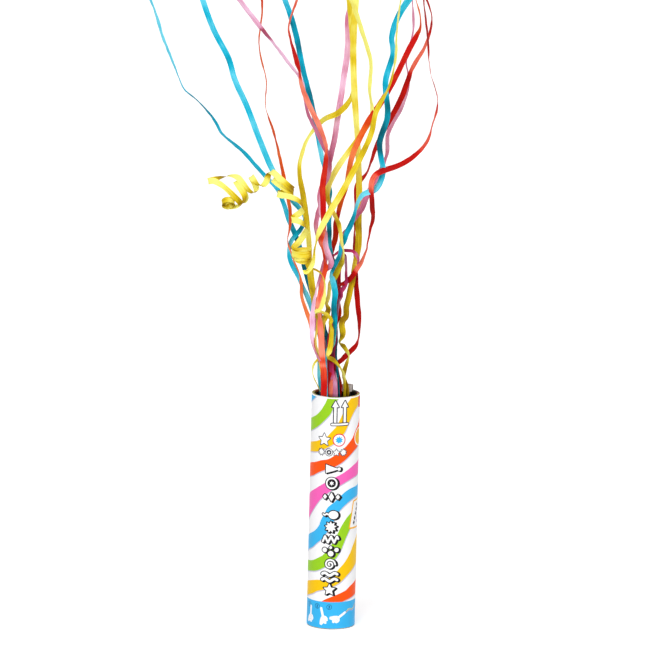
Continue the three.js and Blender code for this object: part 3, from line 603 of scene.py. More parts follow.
        (-5.6, 179.4, 64, 0.15), (-5.1, 183.8, 66, 0.3), (-4.5, 190, 66, 0.6), (-2.6, 200, 40, 0.2),
        (-1, 211, 50, 0.1), (0.8, 217.5, 76, 0.05), (3.5, 219.1, 64, 0.05), (6.9, 221.6, 42, 0.05),
        (9.5, 224.7, 40, 0.1), (11.5, 228.2, 52, 0.95), (13.9, 232.2, 58, 0.9),
        (15.7, 236, 66, 0.85), (17.4, 240.8, 72, 0.75), (18.2, 246.7, 80, 0.6),
        (19.4, 253.2, 72, 0.25), (20.9, 260.9, 54, 0.1, 2), (20.5, 268, 38, 0.1, 8),
        (20, 275.5, 35, 0.1, 14), (19.4, 286, 30, 0.85, 17), (21.6, 291.5, 35, 0.7, 17.5),
        (25.5, 294, 30, 0.05, 17.5), (39.5, 299, 45, 0.2, 14), (53, 309.5, 68, 0.6, 6),
        (58, 323, 78, 0.85), (60.5, 335.5, 82, 0.3), (55, 355.5, 84, 0.5),
        (53, 375, 72, 0.1), (49, 404, 70, 0.1)]},
    {"name": "streamer_cyan_mid", "dye": "cyan", "atMouth": 1.9, "route": [
        (1.4, 155, 76, 0.05), (0.5, 163, 66, 0.15), (-0.3, 170.4, 64, 0.02), (-0.7, 177.9, 66, 0.1),
        (-0.6, 184.7, 66, 0), (-1.5, 195, 50, 0.1), (-2, 210, 40, 0.1), (-2.5, 224, 50, 0.05),
        (-2.9, 233.2, 66, 0), (-3.9, 234.9, 66, 0), (-5.8, 242.4, 60, 0.5), (-6.3, 246.4, 45, 0.3),
        (-6.5, 250.4, 35, -0.1), (-6.8, 255.3, 42, 0.2), (-6.9, 259, 45, 0.45),
        (-6.5, 265.2, 50, 0.1), (-6.6, 272, 66, 0.05), (-6.6, 277, 50, 0.3), (-8.5, 284, 40, 0.4),
        (-13, 301.5, 45, 0.8), (-18.5, 328, 30, 0.1), (-25.5, 354, 30, 0.35), (-32, 381, 20, 0.2),
        (-38.5, 399, 25, 0.8), (-40, 404, 25, 0.75)]},
    {"name": "streamer_yellow_mid", "dye": "yellow", "atMouth": 7, "share": 1.05, "route": [
        (6.5, 154.2, 50, 0.2), (4.8, 159.5, 60, 0.15), (5.3, 163.3, 50, 0.05),
        (6.4, 167.6, 58, 0.25), (7.2, 170.8, 72, 0.9), (7.3, 173.5, 66, 1), (6, 176.5, 45, 0.5),
        (3.8, 179.4, 35, 0.2), (1.6, 181.2, 66, 0.85), (2, 182.8, 66, 0.8), (3.3, 185.3, 40, 0.12),
        (3.4, 188.8, 10, 0.15), (2.7, 192.8, 0, 0.15), (3.7, 196.1, 10, 0.05),
        (5.2, 197.6, 30, 0.02), (5.5, 204.3, 28, 0.12), (6.8, 210.3, 28, 0.25), (8, 216.8, 30, 0.2),
        (9.1, 221.4, 35, 0.2), (9.9, 230, 50, 0.6), (11.5, 237.4, 35, 0.35),
        (12.2, 244.1, 12, 0.25), (12.3, 249.5, 8, 0.32), (11.9, 256.2, 8, 0.2),
        (11.9, 263, 15, 0.45), (12, 275.5, 20, 0.6), (10, 311, 35, 0.85), (7.5, 339, 15, 0.75),
        (6, 369, 15, 0.55), (7, 404, 0, 0.85)]},
    {"name": "streamer_red_right", "dye": "red", "atMouth": -4, "route": [
        (-4, 153.5, 10, 0.98, 3), (-3.7, 156.8, 40, 0.95, 3), (-3.3, 159.8, 66, 0.6, 2),
        (-1.5, 165, 60, 0.1), (0.3, 167.7, 50, 0.1), (3.5, 170.2, 50, 0.15), (5.3, 172.3, 40, 0.1),
        (7.8, 174.8, 40, 0), (10.5, 177.5, 42, 0), (12.6, 180.5, 62, 0.05), (13.4, 183.6, 78, 0.4),
        (13.9, 187.2, 72, 0.2), (14, 193.1, 56, 0.1), (13.8, 196.7, 48, 0.1), (13, 203.1, 38, 0.05),
        (12.1, 211.2, 30, 0), (11.3, 218.7, 40, 0.05), (11.1, 225.2, 48, 0), (10, 238.7, 62, 0.15),
        (9.6, 246.8, 68, 0.15), (9.6, 253.5, 72, 0.3), (9.6, 258, 66, 0.35), (10, 268, 60, 0.4),
        (10.5, 281.5, 45, 0.5), (16.5, 290, 72, 0.3), (23, 309, 50, 0.3), (37, 337, 30, 0.25),
        (41.5, 350, 38, 0.1), (43.5, 356, 60, 0.85), (52.3, 372.5, 66, 0.75),
        (55.5, 388.5, 74, 0.2), (50, 404, 70, 0.2)]},
    {"name": "streamer_orange_diagonal", "dye": "orange", "atMouth": 2.6, "route": [
        (2.6, 155, 55, 0), (1.2, 160.5, 60, 0), (-1, 168, 40, 0.1), (-3, 180, 30, 0.2),
        (-2, 192, 20, 0.1), (0.8, 200.2, 35, 0), (-0.5, 209, 30, 0), (0.1, 221.2, 40, 0),
        (-1.5, 228, 40, 0.1), (-4.9, 237, 50, 0), (-4.2, 241.6, 42, 0), (-2.8, 247, 30, 0),
        (-2.4, 251.9, 25, 0.05), (-2.5, 257.2, 35, 0), (-1.2, 263.2, 45, 0.05),
        (-0.5, 266.7, 45, 0.6), (0.7, 271.6, 45, 0.5), (1.9, 275.5, 45, 0.1), (4, 285, 35, 0.7, 8),
        (7, 305, 30, 0.85, 22), (12.5, 319, 18, 0.7, 25), (17, 328, 25, 0.1, 25),
        (24, 338.5, 25, -0.1, 24), (32, 351, 35, -0.05, 14), (41.5, 369.5, 30, -0.15, 4),
        (48.3, 383, 66, 0.2), (47.5, 392, 76, 0.8), (43.5, 404, 76, 0.85)]},
    {"name": "streamer_yellow_arc", "dye": "yellow", "atMouth": -9.2, "route": [
        (-9.9, 149.8, 82, 0.9), (-12, 153.8, 68, 0.5), (-14.1, 158.1, 72, 0.6),
        (-15.2, 162, 82, 0.8), (-15, 165.5, 84, 0.75), (-13.8, 168.2, 84, 0.7),
        (-12, 170.3, 80, 0.6), (-10.5, 180, 50, 0.3), (-15, 205, 30, 0.2), (-18.5, 226, 30, 0.3),
        (-19.5, 245.5, 35, 0.7), (-23.5, 273, 20, 0.2), (-26.5, 289, 50, 0.4),
        (-26, 297, 55, 0.65), (-22, 310, 62, 0.95), (-12.5, 322.5, 45, 0.6), (-2, 328, 25, 0.35),
        (6, 339, 55, 0.5), (6, 368, 30, 0.6), (2, 404, 30, 0.6)]},
    {"name": "streamer_pink_mid", "dye": "pink", "atMouth": -4.4, "route": [
        (-5.6, 158, 60, 0.85), (-5.7, 165.7, 62, 0.7), (-6.8, 171.1, 55, 0.35),
        (-7.7, 175.6, 55, 0.4), (-10.5, 186, 30, 0.7), (-13.1, 188.4, 45, 0.9),
        (-14.2, 194.9, 45, 0.35), (-12.5, 205, 40, 0.5), (-11, 215, 30, 0.5),
        (-10.5, 225.5, 30, 0.3), (-8.5, 236.9, 50, 0.4), (-10.8, 242.8, 45, 0.5),
        (-12.9, 246.5, 45, 0.9), (-14.9, 251.6, 60, 0.75), (-15.2, 257.2, 45, 0.35),
        (-14.1, 263.2, 42, 0.4), (-13.1, 267.8, 55, 0.5), (-13, 275, 30, 0.4),
        (-8, 294.5, 30, 0.1), (-4.8, 310, 30, 0.55), (-2.6, 326.5, 22, 0.75), (0.5, 350.5, 20, 0.8),
        (2.6, 370, 12, 0.8), (2.2, 385, 12, 0.6), (2.8, 394.5, 60, 0.6), (5.5, 404, 40, 0.6)]},
    {"name": "streamer_pink_right", "dye": "pink", "atMouth": -0.3, "route": [
        (-3, 167, 10, 0.6), (-1.5, 200, 20, 0.6), (2.6, 250, 50, 0.3), (5.6, 254.5, 60, 0.3, 4),
        (8.4, 261.5, 60, 0.35, 12), (10.9, 266.2, 35, 0.3, 14.5), (13.6, 269.7, 20, 0.35, 15),
        (16.4, 277, 20, 0.3, 13), (22, 286, 35, 0.45, 6), (29, 302, 60, 0.6), (29.5, 315, 50, 0.65),
        (38.5, 334, 55, 0.7), (42, 348.5, 74, 0.5), (40, 362, 74, 0.55), (44, 381.5, 75, 0.6),
        (42.5, 404, 75, 0.6)]},
    {"name": "streamer_red_thin", "dye": "orange", "atMouth": -8.5, "route": [
        (-8.6, 160, 30, 0.3), (-9.6, 165.5, 40, 0.3), (-11.2, 169.5, 50, 0.3),
        (-13.2, 175.5, 60, 0.4), (-15.6, 184, 60, 0.6), (-17.2, 193, 45, 0.95), (-23, 209, 50, 0.9),
        (-24.2, 221, 64, 0.6), (-28.6, 232.5, 76, 0.9), (-31.5, 240, 74, 0.9), (-33, 246, 78, 0.3),
        (-31.5, 260, 58, 0.4), (-36, 284, 50, 0.45), (-43.5, 314.5, 74, 0.4), (-49, 330.5, 80, 0.4),
        (-49, 347, 80, 0.5), (-54, 369, 77, 0.45), (-52.5, 393, 77, 0.4), (-53.5, 404, 77, 0.4)]},
    {"name": "streamer_cyan_left", "dye": "cyan", "atMouth": -9.8, "share": 0.95, "route": [
        (-10.6, 155, 58, 0.6), (-11.2, 161.5, 60, 1), (-11.2, 165.6, 64, 1), (-11, 170, 50, 0.9),
        (-10.4, 180, 40, 0.8), (-13, 192, 40, 0.8), (-16.6, 202, 40, 0.85), (-19, 208.5, 35, 0.85),
        (-24.5, 220, 40, 0.8), (-31.5, 234.5, 40, 0.4), (-31, 244.5, 50, 0.85),
        (-24, 254.5, 40, 0.2), (-22.5, 261, 40, 0.9), (-31, 272, 25, 0.6), (-43.5, 290, 15, 0.6),
        (-52, 308.5, 12, 0.65), (-60.5, 329.5, 12, 0.62), (-69.5, 348.5, 15, 0.7),
        (-73, 360, 15, 0.45), (-84, 380.5, 15, 0.62), (-93, 404, 15, 0.7)]},
    {"name": "streamer_cyan_far_left", "dye": "cyan", "atMouth": -5, "route": [
        (-6, 164, 30, 0.2), (-6.9, 175.4, 66, 0.3), (-7.2, 180.5, 50, 0.25), (-6.9, 185.3, 40, 0),
        (-8, 190.7, 58, 0.05), (-9.2, 194.7, 66, 0.1), (-12, 200, 40, 0.1), (-17, 213, 35, 0.1),
        (-20.5, 224, 30, 0.1), (-26.5, 245, 35, 0.2), (-33, 260, 40, 0.6), (-40, 278, 45, 0.5),
        (-48.5, 286.5, 50, 0.5), (-63, 302, 55, 0.5), (-76.5, 313, 62, 0.45), (-82, 322, 70, 0.35),
        (-93, 334, 81, 0.25), (-101, 340.5, 80, 0.45), (-106.5, 352, 70, 0.85),
        (-112, 365, 66, 0.95), (-116.5, 376, 62, 1), (-120.5, 388.5, 60, 1), (-127, 404, 60, 1)]},
]
drum = {"across": -23.7, "up": 236, "radius": 6.6, "loops": 7.5, "pitch": 0.36, "climb": 0.62,
        "tilt": 0.55, "slip": 1.7, "gap": 0.3, "tones": (0.3, 0.95), "loopShadeTone": 0.42,
        "paintedLightTone": 0.48}
hiddenTone = 0.4
viewTilt = math.radians(shot["elevation"])


def sheetDepth(layer, height):  # drawn together in the tube, fanned out above it
    sheets = streamerSheets
    own = sheets["front"] + layer * sheets["pitch"]
    climbed = (height - tube["tailStart"]) / (tube["length"] - tube["tailStart"])
    inTube = min(sheets["bunchDepth"] + (1 - sheets["bunchDepth"]) * climbed, 1)
    above = max(0, height - tube["length"] - sheets["fanRise"]) / sheets["fanReach"]
    sway = (sheets["swayDepth"] * above ** 2
            * math.sin(height / sheets["swayLength"] + sheets["swayLag"] * own))
    return own * inTube + own * sheets["fanGain"] * above ** 1.5 + sway


def heightSeenAt(up, layer):  # the height on a sheet of a point that the tilted camera sees at up
    height = up / math.cos(viewTilt)
    for settling in range(8):
        height = (up - sheetDepth(layer, height) * math.sin(viewTilt)) / math.cos(viewTilt)
    return height


def smoothCurve(knots):  # a function of knot number that passes smoothly through the knots
    before = knots[0] * 2 - knots[1]
    after = knots[-1] * 2 - knots[-2]
    padded = [before, *knots, after]

    def pointAt(place):
        span = min(int(place), len(knots) - 2)
        share = place - span
        first, start, end, last = padded[span:span + 4]
        lengths = [(b - a).length ** 0.5 for a, b in ((first, start), (start, end), (end, last))]
        startPull = ((start - first) / lengths[0] - (end - first) / (lengths[0] + lengths[1])
                     + (end - start) / lengths[1]) * lengths[1]
        endPull = ((end - start) / lengths[1] - (last - start) / (lengths[1] + lengths[2])
                   + (last - end) / lengths[2]) * lengths[1]
        square, cube = share ** 2, share ** 3
        return (start + startPull * share
                + (start * -3 + end * 3 - startPull * 2 - endPull) * square
                + (start * 2 - end * 2 + startPull + endPull) * cube)
    return pointAt


def tangentsOf(points):
    ends = [points[0], *points, points[-1]]
    return [(after - before).normalized() for before, after in zip(ends, ends[2:])]


def eased(low, high, share):
    return low + (high - low) * share * share * (3 - 2 * share)


def stripOnSheet(knots, layer, share=1):  # knots: (across, height, turn, tone, forwards)
    pointAt = smoothCurve([Vector((knot[0], knot[1], knot[4])) for knot in knots])
    paper, plans, turns, tones = streamerPaper, [], [], []
    for span, (first, second) in enumerate(zip(knots, knots[1:])):
        apart = math.dist(first[:2], second[:2]) * mm
        cuts = max(2, round(apart / paper["step"]))
        for cut in range(cuts + (span == len(knots) - 2)):
            part = cut / cuts
            plans.append(pointAt(span + part))
            turns.append(math.radians(eased(first[2], second[2], part)))
            tones.append(eased(first[3], second[3], part))
    points = [Vector((plan.x, sheetDepth(layer, plan.y) - plan.z, plan.y)) * mm for plan in plans]
    stations = []
    for at, along, plan, turn, tone in zip(points, tangentsOf(points), plans, turns, tones):
        slope = sheetDepth(layer, plan.y + 0.5) - sheetDepth(layer, plan.y - 0.5)
        face = Vector((0, 1, -slope))
        face = (face - along * face.dot(along)).normalized()
        short, long = paper["turnWaves"]
        sway = math.sin(plan.y / short + layer) * math.sin(plan.y / long + layer * 2)
        turn += math.radians(paper["turnSway"]) * sway
        short, long = paper["toneWaves"]
        tone += (paper["toneSway"] * math.sin(plan.y / short + layer * 3)
                 * math.sin(plan.y / long + layer))
        turned = face * math.cos(turn) - along.cross(face) * math.sin(turn)
        wobble = 1 + paper["wobble"] * sway
        stations.append({"at": at, "face": turned, "tone": tone, "share": share * wobble})
    return stations


curlyLayer = [streamer["name"] for streamer in streamers].index("streamer_yellow_curly")
drumHeight = heightSeenAt(drum["up"], curlyLayer)
drumCentre = Vector((drum["across"], sheetDepth(curlyLayer, drumHeight), drumHeight))
drumHalf = (drum["climb"] * drum["loops"] + stripWidth) / 2
drumInside = drum["radius"] - drum["loops"] * drum["pitch"]


def streamerKnots(streamer, layer):
    atMouth, squeezed = streamer["atMouth"], streamerSheets["bunchWidth"]
    firstTurn, tone, *forwards = streamer["route"][0][2:]
    low, top = tube["tailStart"], tube["length"]
    knots = [(atMouth * squeezed, low, 0, tone, 0),
             (atMouth * (1 + squeezed) / 2, (low + top) / 2, 0, tone, 0),
             (atMouth, top, firstTurn, tone, forwards[0] if forwards else 0)]
    for across, up, turn, tone, *forwards in streamer["route"]:
        knots.append((across, heightSeenAt(up, layer), turn, tone, forwards[0] if forwards else 0))
    if streamer.get("endsUnderDrum"):
        knots.append((drum["across"] + drumInside, drumCentre.z - drumHalf - drum["gap"], 0,
                      hiddenTone, 0))
    return knots


def declareCord(piece, points, farEnd="bare", pieces=()):
    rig.cord(piece, exit=points[0], length=pathLength(points), diameter=streamerPaper["width"],
            far_end=farEnd, stiffness="limp", lay="taut", path=points, with_pieces=pieces)


streamerPieces = {}
for layer, streamer in enumerate(streamers):
    name = streamer["name"]
    stations = stripOnSheet(streamerKnots(streamer, layer), layer, streamer.get("share", 1))
    piece = addPaper(name, stations, streamer["dye"], seed=layer + 1)
    streamerPieces[name] = (piece, [station["at"] for station in stations])
print("streamers made:", len(streamerPieces))


# Windings of the curly streamer and of the roll at the mouth
def windingStations(centre, right, back, radius, loops, pitch, climb=0, tilt=0, slip=0, steps=48,
                    tones=(0.3, 0.8)):
    axis = right.cross(back)
    stations = []
    for step in range(round(loops * steps) + 1):
        loop = step / steps
        angle = loop * 2 * math.pi
        out = right * math.cos(angle) + back * math.sin(angle)
        raised = (loop - loops / 2) * climb + tilt * math.sin(angle + loop * slip)
        at = (centre + out * (radius - loop * pitch) + axis * raised) * mm
        # Painted light and shade: the tone rises and falls twice round each loop as the face turns.
        share = 0.5 + 0.5 * math.sin(angle * 2 + loop)
        stations.append({"at": at, "face": out, "tone": tones[0] + (tones[1] - tones[0]) * share})
    return squareFaces(stations)


def squareFaces(stations):  # faces made square to the path
    alongs = tangentsOf([station["at"] for station in stations])
    for station, along in zip(stations, alongs):
        face = station["face"]
        station["face"] = (face - along * face.dot(along)).normalized()
    return stations


paintedLight = {"from": Vector((-0.66, -0.36, 0.66)), "deepTone": -0.05, "paleTone": 1.15}


def paintedLightTone(face):  # painted light: paler where the face seen in front looks up and to the left, towards the light, deeper where it looks away
    front = face if face.y < 0 else -face
    return eased(paintedLight["deepTone"], paintedLight["paleTone"], 0.5 + 0.5 * front.dot(paintedLight["from"]))


rightwards, backwards = Vector((1, 0, 0)), Vector((0, 1, 0))
drumStations = windingStations(
    drumCentre, rightwards, -backwards, drumInside, drum["loops"], -drum["pitch"],
    climb=-drum["climb"], tilt=drum["tilt"], slip=drum["slip"], tones=drum["tones"])
# Painted light and shade: the drum's tone mixes the shading round each loop with the paler, lit side.
for station in drumStations:
    station["tone"] = (drum["loopShadeTone"] * station["tone"]
                       + drum["paintedLightTone"] * paintedLightTone(station["face"]))
drumPiece = addPaper("streamer_drum", drumStations, "yellow", seed=31, crinkle=0)

# Curls above the drum: a route of (across, up as seen by the camera, forwards).
curlRoute = [
    (-30.1, 239.6, -3.4), (-28.6, 241.8, -6), (-26, 244.4, -6.5), (-22.7, 249.3, -4.5),
    (-20.8, 253.1, 0), (-23.7, 256.6, 4.5), (-27.8, 258.2, 4.5), (-30.9, 258.7, 0),
    (-28.4, 261.1, -4.5), (-25, 263.6, -4), (-23.4, 266.2, 0), (-26.3, 270.7, 5),
    (-32.1, 273.1, 6), (-37.8, 274, 4), (-40.3, 274.9, 0), (-36.2, 275.7, -6),
    (-31.6, 275.7, -4.5), (-29.7, 275.9, 0), (-32.8, 277.1, 4), (-38.5, 280.4, 5),
    (-42.2, 283.1, 3), (-43.2, 284.3, 0), (-38.6, 281.6, -5.5), (-32.8, 277.9, -4.5),
    (-30, 277.5, 0), (-32.8, 279.6, 6), (-38.6, 284.4, 8), (-43, 288.2, 5),
    (-45.3, 288.9, 0), (-46.4, 285.9, -3.5), (-47.3, 282.5, -3), (-49.7, 279.6, 0),
    (-52.8, 280.3, 3.5), (-55.7, 283.7, 4), (-57.2, 285.7, 0.5), (-56.2, 284, -3.5),
    (-54.2, 280, -4), (-53.6, 276.6, -1.5), (-55.6, 275, 1.5), (-58.7, 276.8, 4.5),
    (-62, 280.7, 5), (-65.5, 284.6, 3), (-69.5, 285.8, 0), (-75.2, 284.9, -3),
    (-80.8, 283, -3), (-84.4, 281.7, 0), (-80.8, 282, 4), (-75.6, 279.5, 5),
    (-69.8, 274.8, 5), (-65.2, 270.4, 3), (-62.2, 268, 0), (-59.6, 271.9, -3.5),
    (-62.5, 278.7, -4), (-66.7, 282.5, -0.5), (-65.1, 279.8, 4), (-61.2, 273.6, 5),
    (-61.2, 269, 3.5), (-64.5, 266.5, 1), (-67.9, 266.1, 0), (-70.5, 265.9, 0)]
curls = {"step": 0.6, "bendReach": 3, "bendPull": 0.35 / 1.5, "gap": 0.3, "crinkle": 0.08 * mm}


def headingOf(stations):  # which way a strip runs on from its last station
    return (stations[-1]["at"] - stations[-2]["at"]).normalized()


def curlStations():  # the face looks away from the centre of each bend and turns gently
    knots = [drumStations[-1]["at"] / mm + headingOf(drumStations) * curls["gap"]]
    for acrossAt, up, forwards in curlRoute:
        height = heightSeenAt(up, curlyLayer)
        knots.append(Vector((acrossAt, sheetDepth(curlyLayer, height) - forwards,
                             height + forwards * math.tan(viewTilt))))
    pointAt = smoothCurve(knots)
    points = []
    for span, (first, second) in enumerate(zip(knots, knots[1:])):
        cuts = max(1, math.ceil((second - first).length / curls["step"]))
        points += [pointAt(span + cut / cuts) for cut in range(cuts)]
    points.append(knots[-1])
    reach = round(curls["bendReach"] / curls["step"])
    face = drumStations[-1]["face"].copy()
    stations = []
    for index, (at, along) in enumerate(zip(points, tangentsOf(points))):
        bend = at * 2 - points[max(0, index - reach)] - points[min(len(points) - 1, index + reach)]
        face = face + bend * curls["bendPull"] * curls["step"]
        face = (face - along * face.dot(along)).normalized()
        # Painted light: each station's tone follows which way its face looks.
        stations.append({"at": at * mm, "face": face, "tone": paintedLightTone(face)})
    return stations


curlPath = curlStations()
curlPiece = addPaper("streamer_curls", curlPath, "yellow", seed=32, crinkle=curls["crinkle"])

# End roll: what is still wound at the far end of the curls.
endRoll = {"radius": 4.6, "loops": 4, "pitch": 0.8, "gap": 0.3}
curlEnd = curlPath[-1]
curlHeading = headingOf(curlPath)
endRollStations = windingStations(
    curlEnd["at"] / mm + curlHeading * endRoll["gap"] - curlEnd["face"] * endRoll["radius"],
    curlEnd["face"], curlHeading, endRoll["radius"], endRoll["loops"], endRoll["pitch"])
endRollPiece = addPaper("streamer_end_roll", endRollStations, "yellow", seed=33, crinkle=0)

# Roll at the mouth: one streamer not yet thrown, which slides out of the bore on its own.
mouthRoll = {"radius": 3.9, "loops": 3.5, "pitch": 0.8, "bearing": 40, "rise": 4,
             "bore": 13.7, "boreSides": 48, "gap": 0.3, "paper": 0.1, "tailShare": 0.75,
             "tones": (0.55, 1)}
reach = (mouthRoll["bore"] * math.cos(math.pi / mouthRoll["boreSides"]) - mouthRoll["gap"]
         - mouthRoll["radius"] - mouthRoll["paper"])
bearing = math.radians(mouthRoll["bearing"])
mouthRollAt = Vector((reach * math.cos(bearing), reach * math.sin(bearing),
                      tube["length"] + mouthRoll["rise"] - stripWidth / 2))
mouthRollStations = windingStations(
    mouthRollAt, rightwards, backwards, mouthRoll["radius"], mouthRoll["loops"],
    mouthRoll["pitch"], tones=mouthRoll["tones"])
addPaper("mouth_roll", mouthRollStations, "taupe", seed=34, body="loose_roll", crinkle=0)
tailLayer = (mouthRollAt.y - streamerSheets["front"]) / streamerSheets["pitch"]
tailStations = stripOnSheet(
    [(mouthRollAt.x * mouthRoll["tailShare"], tube["tailStart"], 0, hiddenTone, 0),
     (mouthRollAt.x, mouthRollAt.z - stripWidth / 2 - mouthRoll["gap"], 0, hiddenTone, 0)],
    tailLayer)
tailPiece = addPaper("mouth_roll_tail", tailStations, "taupe", seed=35, crinkle=0)

for name, (piece, points) in streamerPieces.items():
    declareCord(piece, points, pieces=[drumPiece] if name == "streamer_yellow_curly" else ())
declareCord(curlPiece, [station["at"] for station in curlPath], pieces=[endRollPiece])
declareCord(tailPiece, [station["at"] for station in tailStations], farEnd="object")
print("windings made")


# Printed label: one sheet of paper round the core, folded over the rim and into the mouth. The
# print is laid out flat as (round, up) in mm, where 0 round is the front and + is to the right,
# and every inked shape is cut into the sheet itself, so that its edges stay sharp.
label = {"radius": 15.5, "foot": 0.6, "paper": 0.15, "fold": 0.25, "mouthRadius": 13.7,
         "turnInEnd": 146.5, "columns": 120, "overlap": 0.14, "overlapReach": 8,
         "bandFoot": 0.6, "bandTop": 18.1, "rimFrom": 151.7, "printEnd": 156, "inkStep": 1.2,
         "shadows": (((0.35, -0.9), (226, 224, 236)), ((0.2, -0.5), (192, 190, 208))),
         "rimPaintedShade": ((-1, -0.7, "umber"), (-0.7, -0.59, "rust"), (-0.59, -0.3, "olive"),
                     (0.3, 0.52, "olive"), (0.52, 0.6, "wine"), (0.6, 1, "umber")),
         "foldSteps": 3, "stripeLap": 0.5, "blackFrom": 155.6, "grainDark": 0.955,
         "roughness": (0.37, 0.48), "specular": 0.16, "bump": 0.1, "relief": 0.1 * mm,
         "fibres": {"Fibre Density": 3800.0, "Fibre Length": 0.6, "Crease Density": 60.0,
                    "Mottle Density": 420.0}}
girth = 2 * math.pi * label["radius"]
inks = {"paper": (250, 250, 252), "orange": (255, 84, 0), "yellow": (250, 199, 0),
        "green": (152, 208, 30), "blue": (56, 182, 240), "pink": (248, 100, 186),
        "white": (252, 252, 252), "black": (24, 22, 26), "grey": (50, 48, 60),
        "red": (226, 28, 60), "navy": (20, 66, 120), "gold": (250, 180, 20),
        # Olive, rust, wine and umber are painted shade, for the print inside the mouth.
        "lilac": (196, 190, 226), "olive": (150, 136, 20), "rust": (168, 74, 12),
        "wine": (120, 16, 14), "umber": (52, 44, 22)}

# Stripes climb round the tube from the band to the rim: (round, up) along their two edges.
stripes = {
    "orange": ([(-8, 17), (-3.5, 20), (1, 22), (6, 24), (10, 25.5), (13, 27.5), (18, 29.5),
                (24, 31.5), (32, 38), (42, 52), (52, 68), (62, 86), (70, 101), (74, 106),
                (83.5, 109), (89, 111), (93, 112), (98, 115), (102, 118), (106, 121.5),
                (110, 125.5), (113, 130), (117.5, 134.5), (121.5, 139), (127, 147), (131, 157)],
               [(3, 16), (8.5, 18.5), (12.5, 19.5), (17, 20.5), (24, 22), (32, 27), (42, 39),
                (52, 56), (62, 77), (70, 92.5), (74, 97), (82, 100), (85.5, 102), (90.5, 104.5),
                (98, 107.5), (102.5, 110), (106.5, 113), (111.5, 116.5), (118, 119.5),
                (121.5, 122), (130, 134), (137, 147), (141, 157)]),
    "yellow": ([(-38, 15), (-31, 23), (-22.5, 28.5), (-10, 32), (-6.5, 32.5), (-1, 34.5),
                (5.5, 41), (7.5, 43), (10, 46), (13, 50), (15.5, 54), (18, 57), (24, 62),
                (34, 70), (44, 81), (54, 95), (64, 110), (70, 118), (74, 120), (84.5, 123),
                (89, 125), (92, 126.5), (94.5, 129.5), (98, 133.5), (100.5, 138.5), (103, 144),
                (105.5, 149), (108.5, 152.5), (111, 157)],
               [(-32, 15), (-26, 18), (-20.5, 20), (-13.5, 22.5), (-10, 24.5), (-7, 25.5),
                (-1, 27.5), (5.5, 31), (11, 35.5), (14, 37.5), (18, 40), (24, 43), (34, 51),
                (44, 63), (54, 79), (64, 98), (70, 109), (74, 113.5), (86.5, 116.5), (92.5, 119.5),
                (97, 122.5), (101, 126.5), (104, 130), (106, 134), (108, 138), (111.5, 143),
                (116, 146.5), (121, 151), (125, 157)]),
    "green": ([(-46, 15), (-40, 26), (-32, 37), (-23.5, 42), (-15, 44), (-11.5, 45.5), (-9, 47),
               (-6.5, 48.5), (0, 57), (5.5, 68), (7.5, 71), (9.5, 73.5), (14, 77), (19, 80),
               (24, 83), (34, 91), (44, 103), (54, 117), (64, 130), (70, 135), (74.5, 136),
               (83, 139.5), (87, 143), (90, 147.5), (92, 152), (93, 157)],
              [(-38, 15), (-31, 29), (-23.5, 35), (-10.5, 38), (-6.5, 40), (0, 44.5), (5, 51),
               (7, 55.5), (9, 60), (12.5, 66), (17, 71.5), (24, 76), (34, 84), (44, 95), (54, 108),
               (64, 121), (70, 126), (76, 128), (83.5, 131.5), (87.5, 134.5), (91, 138),
               (94, 141.5), (96, 146), (99, 152), (101.5, 157)]),
    "blue": ([(-56, 15), (-46, 33), (-34, 50), (-23.5, 58.5), (-13, 64), (-9.5, 68), (-8, 72),
              (-6, 75.5), (-3.5, 80.5), (0.5, 84), (5, 88.5), (8.5, 91), (12.5, 92.5), (21, 93.5),
              (24, 95), (34, 103), (44, 117), (54, 133), (62, 145), (68, 157)],
             [(-50, 15), (-42, 29), (-32, 42), (-21.5, 49.5), (-14.5, 53), (-11, 56), (-7.5, 59),
              (-1, 68.5), (4, 78), (9.5, 83), (15, 85.5), (21, 86.5), (24, 87.5), (34, 94),
              (44, 107), (54, 122), (64, 135), (73.5, 145.5), (82.5, 151.5), (88, 157)]),
    "pink": ([(-66, 15), (-56, 35), (-46, 56), (-34, 74), (-23.5, 85.5), (-15, 90.5), (-11, 93),
              (-6.5, 96), (-1, 99.5), (5, 102.5), (10.5, 105.5), (14.5, 107.5), (19.5, 109),
              (24, 111), (33, 120), (42, 136), (50, 157)],
             [(-58, 15), (-48, 34), (-36, 54), (-28, 64), (-22, 70), (-18, 74), (-14.5, 78),
              (-11, 82.5), (-7.5, 86.5), (-1, 92), (5, 95.5), (9, 97.5), (13.5, 99), (21, 100.5),
              (24, 102), (34, 112), (44, 127), (58, 157)]),
}


def roundStar(points, outer, inner, turn=90):
    return [((outer, inner)[step % 2] * math.cos(math.radians(turn + step * 180 / points)),
             (outer, inner)[step % 2] * math.sin(math.radians(turn + step * 180 / points)))
            for step in range(points * 2)]


def oval(width, height, sides=18, across=0, up=0):
    return [(across + width * math.cos(step * 2 * math.pi / sides),
             up + height * math.sin(step * 2 * math.pi / sides)) for step in range(sides)]


def wave(half, swing, bends, up=0, steps=20):
    return [(half * (2 * step / steps - 1), up + swing * math.sin(step / steps * bends * math.pi))
            for step in range(steps + 1)]


def spiral(outer, inner, turns, steps=22):
    points = []
    for step in range(steps + 1):
        radius, angle = outer + (inner - outer) * step / steps, step / steps * turns * 2 * math.pi
        points.append((radius * math.cos(angle), radius * math.sin(angle)))
    return points


